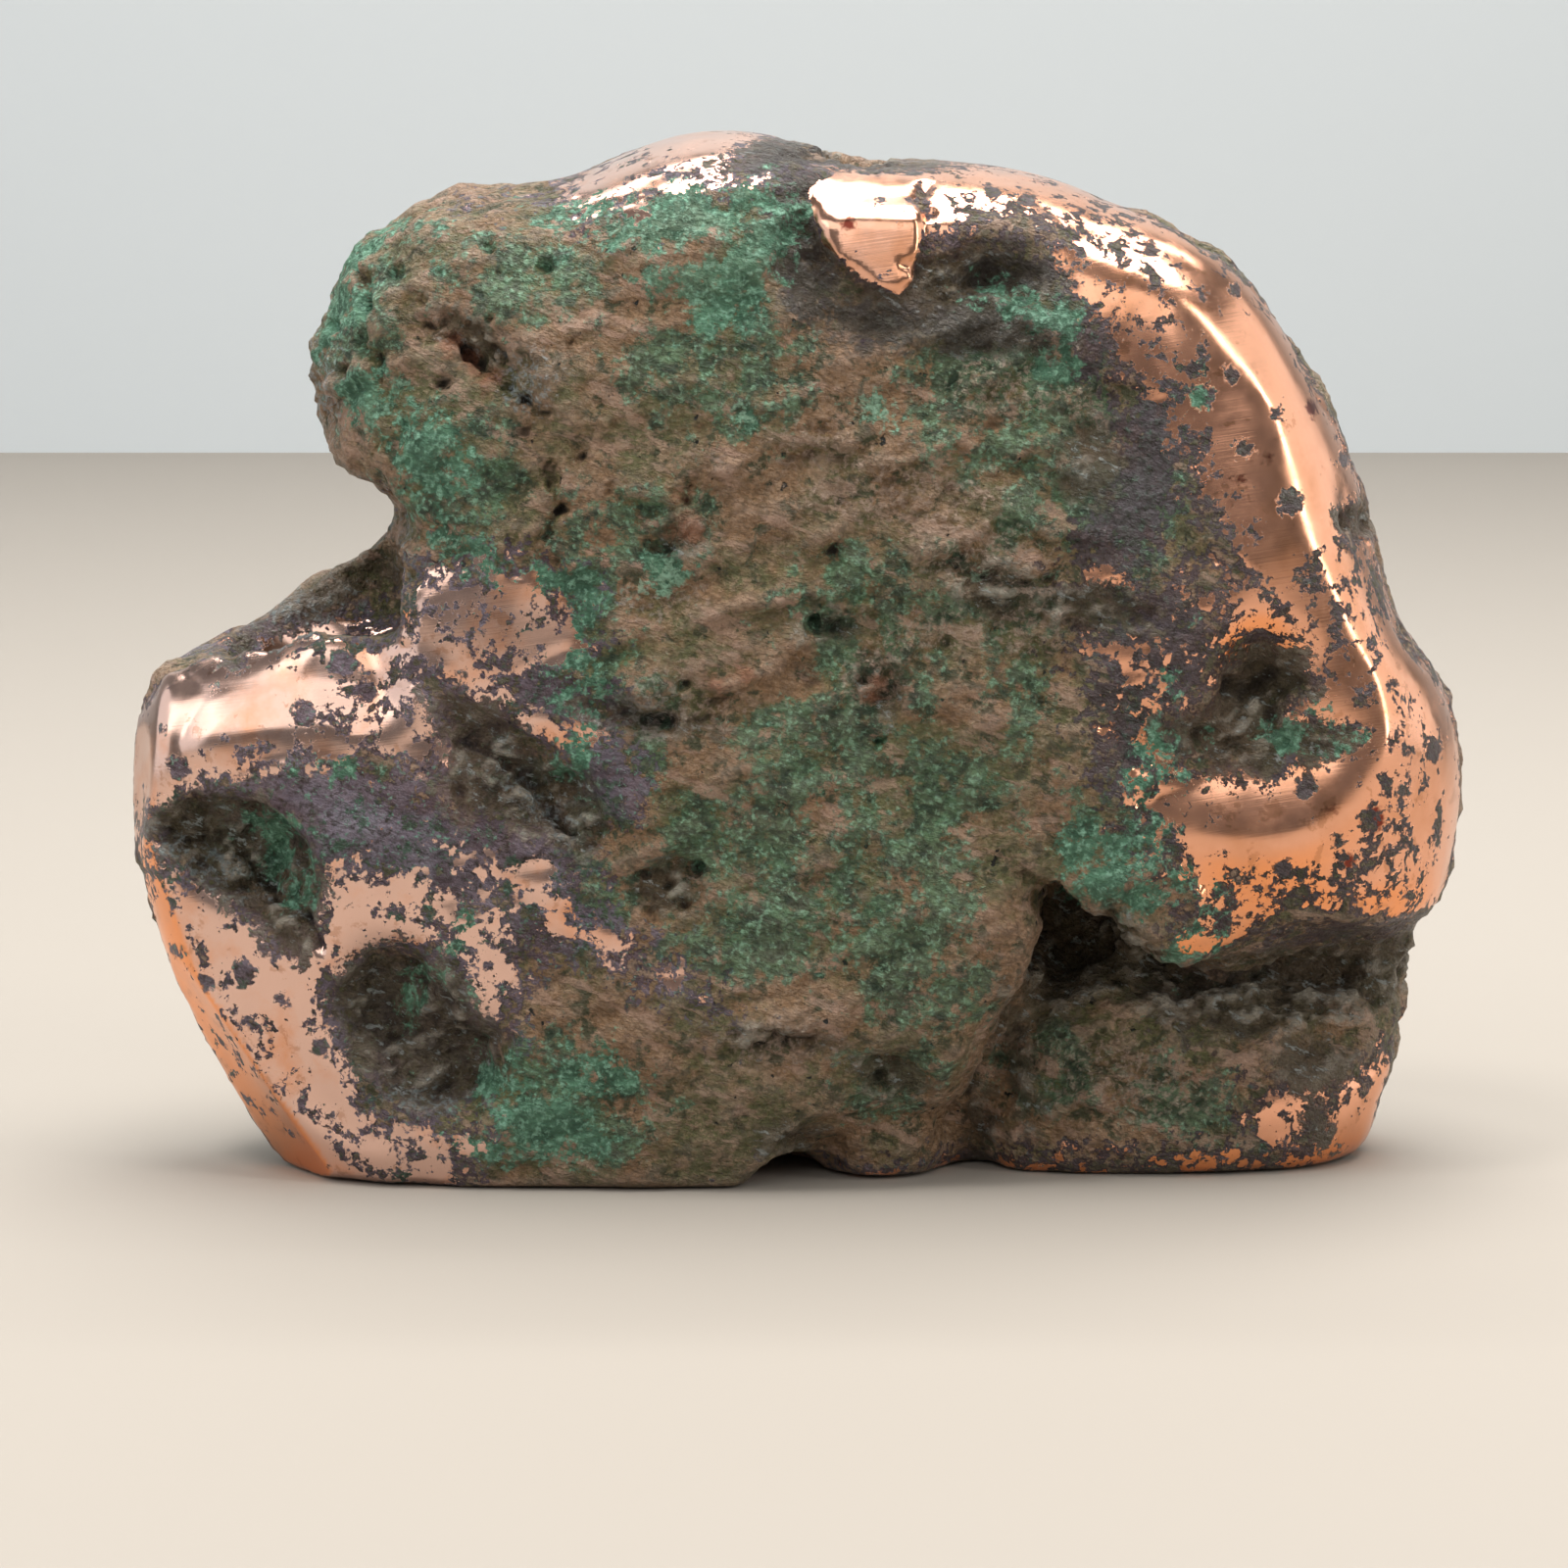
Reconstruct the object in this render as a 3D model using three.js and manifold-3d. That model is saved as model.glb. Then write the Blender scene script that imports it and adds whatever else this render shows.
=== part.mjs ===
// A native copper nugget: one piece of metal, standing on its flat-ground foot.
//
// The nugget is a slab of copper with a rounded rim. A deep notch parts its head, at the upper left, from its
// shoulder, at the lower left. A crack runs in from the right above a set-back toe, and a small knob stands
// between the belly and that toe. Its rim and shoulder have been ground, so they are smooth, and dents that the
// grinding never reached are left in them.
//
// Millimetres, +Z up, front face towards -Y. The origin is on the floor under the middle of the nugget's box.

import * as THREE from "three";
import { ImprovedNoise } from "three/addons/math/ImprovedNoise.js";
import { mergeVertices } from "three/addons/utils/BufferGeometryUtils.js";
import Module from "manifold-3d";

const wasm = await Module();
wasm.setup();

// ---- Driving dimensions -------------------------------------------------------------------------------------

const FRONT = -27; // the front face's depth at the belly, its most forward place
const BACK = 26; // the back face's depth at its fullest
const SLAB_HALF_WIDTH = 75; // how far from the middle the faces have curved away by their falls
const FACE_FALL_ASIDE = 6; // how much a face has curved away there, left and right
const FACE_FALL_UP = 5; // and the same, up and down
const RIM_RADIUS = 62; // the usual distance from the slab's middle to its rim
const RIM_BLUR = 0.085; // inside the rim its corners die out: the share of the rim's length they are spread over

const SWELL_WIDTH = 17; // the width of the slab's soft swells
const SWELL_HEIGHT = 0.9;
const LUMP_WIDTH = 6.5; // the width of the small lumps on them
const LUMP_HEIGHT = 0.45;

const FLOOR_TOOL = 400; // the side of the block that cuts the foot flat

// From the middle of the front face, over the rim, to the middle of the back: how far out, as a share of the way
// to the rim, and how deep, as a share of the face's depth. The ground bevel starts at the turn at 0.87.
const SLAB_PROFILE = [
  [0, -1],
  [0.42, -1],
  [0.7, -0.99],
  [0.87, -0.92],
  [0.96, -0.56],
  [1, 0],
  [0.96, 0.42],
  [0.84, 0.76],
  [0.64, 0.93],
  [0.36, 1],
  [0, 1],
];

// A lobe that isn't ground is rounder.
const LOBE_PROFILE = [
  [0, -1],
  [0.42, -0.96],
  [0.76, -0.74],
  [0.94, -0.4],
  [1, 0],
  [0.94, 0.4],
  [0.76, 0.74],
  [0.42, 0.96],
  [0, 1],
];

// The tongue is a flat flap with a steep edge.
const FLAP_PROFILE = [
  [0, -1],
  [0.5, -1],
  [0.84, -0.92],
  [0.97, -0.6],
  [1, 0],
  [0.9, 0.5],
  [0.5, 0.9],
  [0, 1],
];

// ---- The rims, clockwise seen from the front: across, depth, up -----------------------------------------------

const SLAB_RIM = [
  // the shoulder's outer side, upwards from the foot
  [-55, -14, -7],
  [-58.5, -13, 0],
  [-62.5, -12, 5.5],
  [-67, -11, 14],
  [-70.5, -10, 22.5],
  [-73.2, -9, 31],
  [-74.8, -8, 38],
  [-75, -7, 45],
  [-74.4, -5, 51.5],
  [-72.4, -2, 55.3],
  // the ridge behind the shoulder's hollow, up to the notch
  [-68.7, 3, 57.8],
  [-63.4, 6, 59.7],
  [-57.8, 8, 63.4],
  [-51.6, 8, 67.7],
  [-45.2, 6, 72.6],
  // the head
  [-46, 3, 76],
  [-47.8, 2, 76.9],
  [-51.6, 0, 79],
  [-53.8, 0, 83],
  [-53.5, 0, 87.5],
  [-54.6, 0, 91],
  [-53, 0, 96.5],
  [-51, 0, 101.4],
  [-47.8, 0, 105.3],
  [-42.6, 0, 108.8],
  [-37.5, 0, 110.1],
  [-32, 0, 109.8],
  [-26, 0, 110.9],
  [-19.5, 0, 113.6],
  [-13.5, 0, 115.9],
  [-6.8, 0, 116.5],
  // along the top and down the ground right edge
  [-1.3, 0, 115.6],
  [3.5, 0, 113.9],
  [11, 1, 113.3],
  [20.5, 1, 112.7],
  [28.5, 1, 111.2],
  [35, 1, 108.2],
  [41.7, 1, 104.9],
  [47.8, 1, 101.4],
  [52.8, 1, 95.8],
  [58, 1, 89.4],
  [61.9, 1, 83],
  [65, 1, 74.7],
  [66.9, 1, 65.8],
  [69.2, 0, 60.3],
  [73.4, 0, 55],
  [75.7, 0, 47.5],
  [76.2, 0, 41.5],
  [75.3, 0, 34.8],
  [73.8, 0, 28.4],
  [71.6, 0, 25.2],
  // the crack over the toe, inwards to its tip
  [66, -2, 25.6],
  [60.5, -4, 26.4],
  [56.6, -5, 25],
  [52.4, -6, 22.4],
  [47.6, -7, 20.5],
  [43, -7, 20.6],
  [39, -7, 23.2],
  [35.6, -6, 27],
  [31.4, -5, 29.8],
  [26, -4, 34.4],
  // the belly's right side, down to the foot
  [28.4, -4, 28.6],
  [28.6, -5, 25.4],
  [26.8, -6, 21.6],
  [24.4, -6, 18],
  [22.6, -6, 14],
  [20.6, -6, 9.5],
  // the belly's underside, over the knob
  [17, -5, 5.6],
  [11, -4, 3.4],
  [4, -4, 2],
  [-2, -4, -1.5],
  // below the foot, where the floor cuts it off
  [-7, -4, -8],
  [-14, -4, -14.5],
  [-25, -5, -18.5],
  [-38, -9, -17],
  [-49, -12, -13],
];
const SLAB_HEART = [4, 62];

const TOE_RIM = [
  [15, 2, -13],
  [13, 4, 4],
  [15, 6, 22],
  [21, 8, 37],
  [34, 8, 44],
  [50, 6, 43],
  [62, 4, 37],
  [70.6, 1, 29],
  [72.2, 0, 23],
  [71.6, 0, 18],
  [70.6, 0, 14.3],
  [68.8, 0, 9.2],
  [67.6, 0, 5.2],
  [66.2, 0, 0],
  [62, 1, -8],
  [48, 2, -15],
  [30, 2, -17],
];
const TOE_HEART = [42, 15];
const TOE_FRONT = -17.5; // set back from the belly
const TOE_BACK = 21;
const TOE_SLOPE = 0.36; // how fast its front leans away above the height where it is fullest
const TOE_FULLEST = 8;

const KNOB = { at: [10, -1, 4], size: [9.8, 20, 8.6], tilt: 0 }; // the knob between belly and toe

// The ground tongue that overhangs the face under the top edge.
const TONGUE_RIM = [
  [4.4, -19, 101.6],
  [3.4, -17, 105],
  [3.4, -13, 108.6],
  [6.4, -11, 110.4],
  [10.2, -11, 110.5],
  [13.4, -12, 109.4],
  [13, -17, 105.4],
  [12.2, -20, 102.4],
  [11.8, -22, 99.6],
  [9.8, -22, 99],
  [7, -21, 99.8],
];
const TONGUE_HEART = [8.6, 104.6];
const TONGUE_STAND = 4.2; // how far it stands forward of its own rim
const TONGUE_ROOT = 9; // how far it reaches into the slab

// ---- Ground flats: a place on each, the way it faces, and how far across its surface it reaches ---------------

const FLATS = [
  { name: "outer edge of the shoulder", at: [-73.6, -11, 45], faces: [-0.9, -0.43, 0.04], reach: [7, 26] },
  { name: "top of the shoulder", at: [-60, -18.6, 55.5], faces: [-0.16, -0.91, 0.38], reach: [16, 9] },
  { name: "middle of the shoulder", at: [-62, -20.4, 48], faces: [-0.2, -0.975, 0.08], reach: [17, 8] },
  { name: "lower shoulder", at: [-54, -21.6, 24], faces: [-0.34, -0.93, -0.12], reach: [20, 20] },
  { name: "lower edge of the shoulder", at: [-66.5, -13, 12], faces: [-0.76, -0.53, -0.38], reach: [15, 26] },
];

// ---- Hollows: across and up, half sizes, how deep, and the tilt in degrees, left side up ----------------------

const FRONT_HOLLOWS = [
  { name: "eye of the shoulder", at: [-61.9, 37.6], size: [11.6, 5.2], deep: 4.8, tilt: 13 },
  { name: "pocket", at: [-45, 21.4], size: [6, 7.6], deep: 6, tilt: 20 },
  { name: "pocket ledge", at: [-38.2, 14.2], size: [7, 5.6], deep: 5, tilt: -10 },
  { name: "slanting groove", at: [-29.6, 47], size: [12.6, 4], deep: 3.4, tilt: 38 },
  { name: "cheek, upper", at: [50.6, 56.8], size: [4.3, 5.6], deep: 4, tilt: 10 },
  { name: "cheek, lower", at: [47, 49.4], size: [6, 3.6], deep: 3.4, tilt: -12 },
  { name: "cheek, tail", at: [56.4, 49.6], size: [6.4, 2.3], deep: 2.6, tilt: -16 },
  { name: "under the top edge", at: [20.4, 100.4], size: [8.6, 4], deep: 3.6, tilt: -4 },
  { name: "beside the tongue", at: [0.4, 104.4], size: [3.2, 7], deep: 2.6, tilt: -12 },
  { name: "under the tongue", at: [7.4, 97.4], size: [6.6, 2.6], deep: 2.2, tilt: 14 },
  { name: "brow", at: [-33.4, 91.8], size: [5.8, 2.5], deep: 2.6, tilt: 36 },
  { name: "middle pit", at: [-14.2, 71], size: [3.2, 2.4], deep: 3, tilt: -20 },
  { name: "upper pit", at: [-11.6, 77.4], size: [2.2, 1.9], deep: 2.4, tilt: 0 },
  { name: "sponge", at: [-12.8, 35.4], size: [3.4, 3], deep: 2, tilt: 20 },
  { name: "belly pit", at: [12, 13.6], size: [4, 2.5], deep: 2.2, tilt: 20 },
  { name: "nick in the right edge", at: [61.4, 73], size: [3.4, 2.1], deep: 2.2, tilt: 12 },
];

const BACK_HOLLOWS = [
  { name: "broad back dent", at: [18, 66], size: [17, 11], deep: 4.4, tilt: 24 },
  { name: "back pocket", at: [-34, 36], size: [8, 11], deep: 5.4, tilt: -18 },
  { name: "back groove", at: [-30, 84], size: [14, 4.2], deep: 3.6, tilt: -32 },
  { name: "back cheek", at: [48, 40], size: [7, 10], deep: 4.4, tilt: 16 },
  { name: "low back dent", at: [4, 25], size: [9, 6], deep: 3.6, tilt: 8 },
  { name: "high back dent", at: [30, 96], size: [8, 5], deep: 3, tilt: 30 },
  { name: "back pit", at: [-8, 52], size: [3.4, 3], deep: 3, tilt: 0 },
];

// Openings that reach well into the metal: middle, half sizes and tilt.
const CAVITIES = [
  { name: "notch over the shoulder", at: [-55.5, -14, 68.6], size: [15.5, 18.5, 6.8], tilt: -27 },
  { name: "notch beside the neck", at: [-48.6, -12, 66.4], size: [6.8, 17, 6.4], tilt: 0 },
  { name: "corner under the neck", at: [-46.4, -14, 63.4], size: [4.6, 15, 3.4], tilt: 8 },
  { name: "hollow behind the shoulder", at: [-52.5, -6.6, 62], size: [12.5, 8.6, 7], tilt: -18 },
  { name: "cave in the crack", at: [31, -13, 27.2], size: [5.6, 12, 7.6], tilt: 24 },
  { name: "crack under the cheek", at: [44, -15, 22], size: [13, 8.4, 2.4], tilt: 10 },
  { name: "crack at the right", at: [61, -11, 22.6], size: [11, 9, 3], tilt: -8 },
  { name: "seam beside the belly", at: [23.6, -18, 13], size: [2.3, 7, 11], tilt: 16 },
  { name: "arch between belly and knob", at: [-1, -17, 0], size: [4.2, 11, 3.4], tilt: 0 },
  { name: "arch between knob and toe", at: [20.4, -17, 0], size: [2.6, 9, 4.4], tilt: 0 },
];
const RAGGED = 0.16; // how uneven a hollow's outline is, as a share of its size

// ---- Shapes ---------------------------------------------------------------------------------------------------

const noise = new ImprovedNoise();

// A soft random height at a place, from -1 to 1, for bumps of the given width.
function bump(point, width) {
  return noise.noise(point.x / width + 31.7, point.y / width + 12.3, point.z / width + 5.9);
}

// How deep the slab's front or back face lies at a place.
function faceDepth(depth, x, z) {
  const aside = (x / SLAB_HALF_WIDTH) ** 2 * FACE_FALL_ASIDE;
  const up = ((z - 45) / SLAB_HALF_WIDTH) ** 2 * FACE_FALL_UP;
  return depth - Math.sign(depth) * (aside + up);
}

// How deep the toe's front or back face lies at a place.
function toeDepth(depth, x, z) {
  return depth - Math.sign(depth) * Math.max(0, z - TOE_FULLEST) * TOE_SLOPE;
}

// Moves a vertex that stands out of a ground flat onto it, less and less towards the end of the flat's reach.
function grind(point, flat) {
  const facing = new THREE.Vector3(...flat.faces).normalize();
  const away = point.clone().sub(new THREE.Vector3(...flat.at));
  const proud = away.dot(facing);
  if (proud <= 0) return;
  const along = Math.hypot(away.x / flat.reach[0], away.z / flat.reach[1]);
  point.addScaledVector(facing, -proud * (1 - THREE.MathUtils.smoothstep(along, 0.8, 1.25)));
}

// Each place on a closed line moved to the mean of its neighbours, that many to either side.
function spreadOut(places, reach) {
  return places.map((_, i) => {
    const mean = new THREE.Vector3();
    for (let step = -reach; step <= reach; step++) mean.add(places.at((i + step) % places.length));
    return mean.divideScalar(2 * reach + 1);
  });
}

// A closed lobe: a sphere whose equator is drawn out to a rim and whose caps are pressed into two faces.
// faces(x, z) gives the front and back depth there, and finish(point) may move each vertex afterwards.
function lobe({ rim, heart, profile, thickness, faces, around, across, blur = 0, finish = () => {} }) {
  const rimCurve = new THREE.CatmullRomCurve3(
    rim.map((place) => new THREE.Vector3(...place)),
    true,
    "centripetal",
  );
  const section = new THREE.SplineCurve(
    profile.map(([out, deep]) => new THREE.Vector2(out * RIM_RADIUS, (deep * thickness) / 2)),
  );
  const geometry = new THREE.SphereGeometry(1, around, across);
  const { position, uv } = geometry.attributes;
  const rimPlaces = Array.from({ length: around + 1 }, (_, i) => rimCurve.getPointAt((i % around) / around));
  const softPlaces = spreadOut(rimPlaces.slice(0, around), Math.round(blur * around));
  const sectionPlaces = Array.from({ length: across + 1 }, (_, i) => section.getPointAt(i / across));
  for (let i = 0; i < position.count; i++) {
    const at = Math.round(uv.getX(i) * around + around) % around;
    const step = Math.round(uv.getY(i) * across);
    const atPole = step === 0 || step === across;
    const out = atPole ? 0 : sectionPlaces[step].x / RIM_RADIUS;
    const deep = THREE.MathUtils.clamp((2 * sectionPlaces[step].y) / thickness, -1, 1);
    const place = softPlaces[at].clone().lerp(rimPlaces[at], THREE.MathUtils.smoothstep(out, 0.35, 1));
    const x = heart[0] + out * (place.x - heart[0]);
    const z = heart[1] + out * (place.z - heart[1]);
    const [front, back] = faces(x, z);
    const face = deep < 0 ? front : back;
    const point = new THREE.Vector3(x, THREE.MathUtils.lerp(place.y, face, Math.abs(deep)), z);
    finish(point, Math.abs(deep));
    position.setXYZ(i, point.x, point.y, point.z);
  }
  return geometry;
}

// An uneven ball with the given half sizes, tilted about the depth axis.
function raggedBall({ at, size, tilt = 0 }, detail) {
  const geometry = new THREE.SphereGeometry(1, 2 * detail, detail);
  const { position } = geometry.attributes;
  const turn = new THREE.Euler(0, THREE.MathUtils.degToRad(tilt), 0);
  for (let i = 0; i < position.count; i++) {
    const point = new THREE.Vector3().fromBufferAttribute(position, i);
    const seed = point.clone().multiplyScalar(4).add(new THREE.Vector3(...at));
    point.multiplyScalar(1 + RAGGED * bump(seed, 3));
    point.multiply(new THREE.Vector3(...size)).applyEuler(turn).add(new THREE.Vector3(...at));
    position.setXYZ(i, point.x, point.y, point.z);
  }
  return geometry;
}

// ---- Joining and cutting --------------------------------------------------------------------------------------

function solidOf(geometry) {
  const bare = geometry.clone().deleteAttribute("normal").deleteAttribute("uv");
  const merged = mergeVertices(bare, 1e-4);
  const vertProperties = new Float32Array(merged.attributes.position.array);
  const triVerts = new Uint32Array(merged.index.array);
  return new wasm.Manifold(new wasm.Mesh({ numProp: 3, vertProperties, triVerts }));
}

function geometryOf(solid) {
  const mesh = solid.getMesh();
  const geometry = new THREE.BufferGeometry();
  geometry.setAttribute("position", new THREE.BufferAttribute(mesh.vertProperties, 3));
  geometry.setIndex(new THREE.BufferAttribute(mesh.triVerts, 1));
  geometry.computeVertexNormals();
  return geometry;
}

// The depth at which a line through (x, z) first meets the solid, coming from the front or from the back.
function surfaceDepth(mesh, x, z, fromFront) {
  const far = fromFront ? -FLOOR_TOOL : FLOOR_TOOL;
  const ray = new THREE.Raycaster(new THREE.Vector3(x, far, z), new THREE.Vector3(0, -Math.sign(far), 0));
  return ray.intersectObject(mesh)[0].point.y;
}

function makeSlab() {
  return lobe({
    rim: SLAB_RIM,
    heart: SLAB_HEART,
    profile: SLAB_PROFILE,
    thickness: BACK - FRONT,
    faces: (x, z) => [faceDepth(FRONT, x, z), faceDepth(BACK, x, z)],
    around: 104,
    across: 20,
    blur: RIM_BLUR,
    finish: (point, flatness) => {
      const swell = bump(point, SWELL_WIDTH) * SWELL_HEIGHT + bump(point, LUMP_WIDTH) * LUMP_HEIGHT;
      point.y += swell * flatness;
      FLATS.forEach((flat) => grind(point, flat));
    },
  });
}

function makeToe() {
  return lobe({
    rim: TOE_RIM,
    heart: TOE_HEART,
    profile: LOBE_PROFILE,
    thickness: TOE_BACK - TOE_FRONT,
    faces: (x, z) => [toeDepth(TOE_FRONT, x, z), toeDepth(TOE_BACK, x, z)],
    around: 40,
    across: 14,
    finish: (point, flatness) => {
      point.y += (bump(point, SWELL_WIDTH / 2) * SWELL_HEIGHT + bump(point, LUMP_WIDTH) * LUMP_HEIGHT) * flatness;
    },
  });
}

function makeTongue() {
  return lobe({
    rim: TONGUE_RIM,
    heart: TONGUE_HEART,
    profile: FLAP_PROFILE,
    thickness: TONGUE_STAND + TONGUE_ROOT,
    faces: (x, z) => {
      const middle = THREE.MathUtils.mapLinear(z, 99, 110.5, -22, -11);
      return [middle - TONGUE_STAND, middle + TONGUE_ROOT];
    },
    around: 22,
    across: 8,
  });
}

function makeNugget() {
  const knob = raggedBall(KNOB, 10);
  const grown = [makeToe(), knob, makeTongue()]
    .map(solidOf)
    .reduce((joined, piece) => joined.add(piece), solidOf(makeSlab()));

  const skin = new THREE.Mesh(geometryOf(grown), new THREE.MeshBasicMaterial({ side: THREE.DoubleSide }));
  const hollows = [
    ...FRONT_HOLLOWS.map((hollow) => ({ ...hollow, fromFront: true })),
    ...BACK_HOLLOWS.map((hollow) => ({ ...hollow, fromFront: false })),
  ].map(({ at: [x, z], size: [halfWidth, halfHeight], deep, tilt, fromFront }) =>
    raggedBall({ at: [x, surfaceDepth(skin, x, z, fromFront), z], size: [halfWidth, deep, halfHeight], tilt }, 6),
  );
  const cavities = CAVITIES.map((cavity) => raggedBall(cavity, 7));
  const floor = new THREE.BoxGeometry(FLOOR_TOOL, FLOOR_TOOL, FLOOR_TOOL).translate(0, 0, -FLOOR_TOOL / 2);

  return [...hollows, ...cavities, floor].map(solidOf).reduce((left, tool) => left.subtract(tool), grown);
}

const nuggetGeometry = geometryOf(makeNugget());
nuggetGeometry.computeBoundingBox();
const middle = nuggetGeometry.boundingBox.getCenter(new THREE.Vector3());
nuggetGeometry.translate(-middle.x, -middle.y, 0);

const copper = new THREE.MeshStandardMaterial({ color: 0xb06a4c, roughness: 0.45, metalness: 0.85 });
const nugget = new THREE.Mesh(nuggetGeometry, copper);
nugget.name = "nugget";

const group = new THREE.Group();
group.add(nugget);

export default group;
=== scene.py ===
"""A native copper nugget on its flat-ground foot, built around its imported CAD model.

The metal is one mesh: the CAD solid remeshed finely, smoothed where it was ground, and roughened, pitted
and creased where it wasn't. Maps of what covers the metal are measured on that mesh, in millimetres from
each region's edge, and the material breaks the regions' edges up into specks.
"""

import math

import bmesh
import bpy
import numpy as np
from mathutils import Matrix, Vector, noise


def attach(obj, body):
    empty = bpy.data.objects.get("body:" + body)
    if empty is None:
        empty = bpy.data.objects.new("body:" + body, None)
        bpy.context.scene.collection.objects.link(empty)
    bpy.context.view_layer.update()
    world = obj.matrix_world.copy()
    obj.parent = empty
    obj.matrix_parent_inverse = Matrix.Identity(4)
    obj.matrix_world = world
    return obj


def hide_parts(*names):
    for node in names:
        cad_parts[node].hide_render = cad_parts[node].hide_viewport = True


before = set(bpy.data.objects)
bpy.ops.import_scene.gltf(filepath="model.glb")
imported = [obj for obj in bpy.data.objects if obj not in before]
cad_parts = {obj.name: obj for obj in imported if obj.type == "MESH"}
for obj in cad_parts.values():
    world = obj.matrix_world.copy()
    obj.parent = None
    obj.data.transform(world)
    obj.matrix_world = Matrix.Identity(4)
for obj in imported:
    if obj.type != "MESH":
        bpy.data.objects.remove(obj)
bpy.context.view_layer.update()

MM = 0.001

# ---- Places on the front face, in millimetres: across, up ----

# Outlines of the bare, polished copper.
POLISHED = {
    "shoulder": [
        (-78, 52), (-74, 56.5), (-68.5, 58.5), (-63, 60), (-53.5, 61), (-46, 59), (-41, 55), (-40, 51),
        (-46.5, 49), (-55.5, 48), (-62, 47), (-66, 44.5), (-69.5, 41), (-71.5, 37), (-73.5, 34),
        (-78, 34),
    ],
    "neck": [
        (-42.5, 60), (-40.5, 65.5), (-36, 68), (-29.5, 67.5), (-25, 65), (-25, 61.5), (-28.5, 59),
        (-31.5, 57), (-33, 52.5), (-36, 53.5), (-37, 57), (-41, 58),
    ],
    "facet": [
        (-70.5, 35.5), (-63.5, 33), (-59, 30), (-54.5, 31.5), (-52, 34.5), (-48, 35.5), (-42.5, 34.5),
        (-39, 31.5), (-41, 28), (-46.5, 26.5), (-51, 24.5), (-52.5, 21), (-50.5, 16.5), (-49.5, 12.5),
        (-48, 8), (-48, 4.5), (-53, 6.5), (-57.5, 12), (-61.5, 17.5), (-66, 24), (-69.5, 30),
    ],
    "beside the pocket": [
        (-38, 30.5), (-34, 31), (-32, 26.5), (-33, 23), (-34, 19), (-37, 18.5), (-38, 24),
    ],
    "lower edge": [
        (-78, 33), (-71, 33.5), (-67, 29), (-63, 21.5), (-59.5, 15), (-55, 9.5), (-49.5, 6), (-43, 6),
        (-37, 5.5), (-37.5, 2), (-43, -3), (-70, -3), (-80, 15),
    ],
    "top": [
        (-25, 109.5), (-22, 113), (-17, 118), (-13, 119), (-5.5, 119), (-2, 114.5), (-3.5, 112.5),
        (-7.5, 111.5), (-12.5, 110.4), (-18, 108.6), (-22, 108.2),
    ],
    "tongue": [
        (0.5, 109.8), (4, 111.5), (9, 111.5), (14, 111), (13.4, 107), (13, 104), (12.4, 101.5),
        (12.2, 99.5), (10.6, 97.8), (7.6, 99), (4.6, 101), (2, 103.5), (1.2, 106),
    ],
    "top band": [
        (10.5, 111), (17.5, 113), (25, 113), (31.5, 111), (37, 106), (34, 102), (31, 102.6),
        (28.6, 105.6), (25.5, 107.8), (20, 108.6), (18.2, 107.4), (17.6, 105.2), (15, 104), (12, 104),
    ],
    "right band": [
        (31.5, 109.5), (37, 108.5), (44, 105.5), (51, 100), (57, 93), (62, 86), (67, 76), (66, 72.5),
        (59, 71.5), (57, 68.5), (51, 66), (48, 69), (45.5, 74), (43.5, 79), (41.5, 83.5), (39.5, 87.5),
        (35, 91), (32, 95), (30.5, 98), (28.5, 101.5),
    ],
    "cheek": [
        (48, 67), (52, 66), (57, 69), (62, 71.5), (68, 68), (71, 60), (78, 53), (80, 45), (78, 32),
        (69, 27), (64.5, 25.5), (60, 25.5), (53.5, 23.5), (48, 21.5), (43, 19), (41, 24), (43.5, 28.5),
        (45.5, 32), (44, 36), (39.5, 39), (36.5, 43.5), (37, 48), (38.5, 56), (40, 63),
    ],
    "toe": [(51.5, 7), (54.5, 10.6), (59, 10.6), (58.4, 7.4), (55.4, 4.6), (52, 4.6)],
    "toe corner": [(56.5, 3.6), (59, 8.4), (63.6, 9.4), (72, 13), (74, -2), (57, -2)],
}

# The stretches of rim that were never ground: the head with the notch, and the edge under the cheek.
HEAD_AND_NOTCH = [
    (-62, 61), (-72, 75), (-70, 125), (-32, 125), (-28, 108), (-40, 100), (-44, 70), (-44, 62),
]
UNDER_CHEEK = [(20, -5), (22, 28), (58, 26), (70, 24), (90, 24), (90, 12), (60, 10), (40, -5)]

# Small scraps of bare copper beside the regions above: across, up, half width, half height, tilt.
POLISHED_SCRAPS = [
    (32, 66.5, 1.8, 1.1, 0), (36, 58.5, 3, 1.5, 20), (36.5, 52.5, 2.4, 1.3, -20), (42.5, 60, 1.8, 5, 0),
    (-28, 51.5, 2.6, 1.2, 20), (-23, 52.5, 1.5, 1.2, 0), (-38, 49, 5, 1.2, 0), (-46.5, 30.5, 3, 3, 0),
    (-34.5, 110.5, 2, 0.8, 0), (-26, 31, 8, 1.3, 30), (-31, 36, 3, 1, 0), (45, 27.5, 3, 2, 0),
    (34, 62.6, 2.4, 3, 30), (-22.6, 52.6, 2.4, 1.6, 0), (49, 1.6, 4, 0.6, 0), (27, 0.6, 4, 0.5, 0),
]

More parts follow.
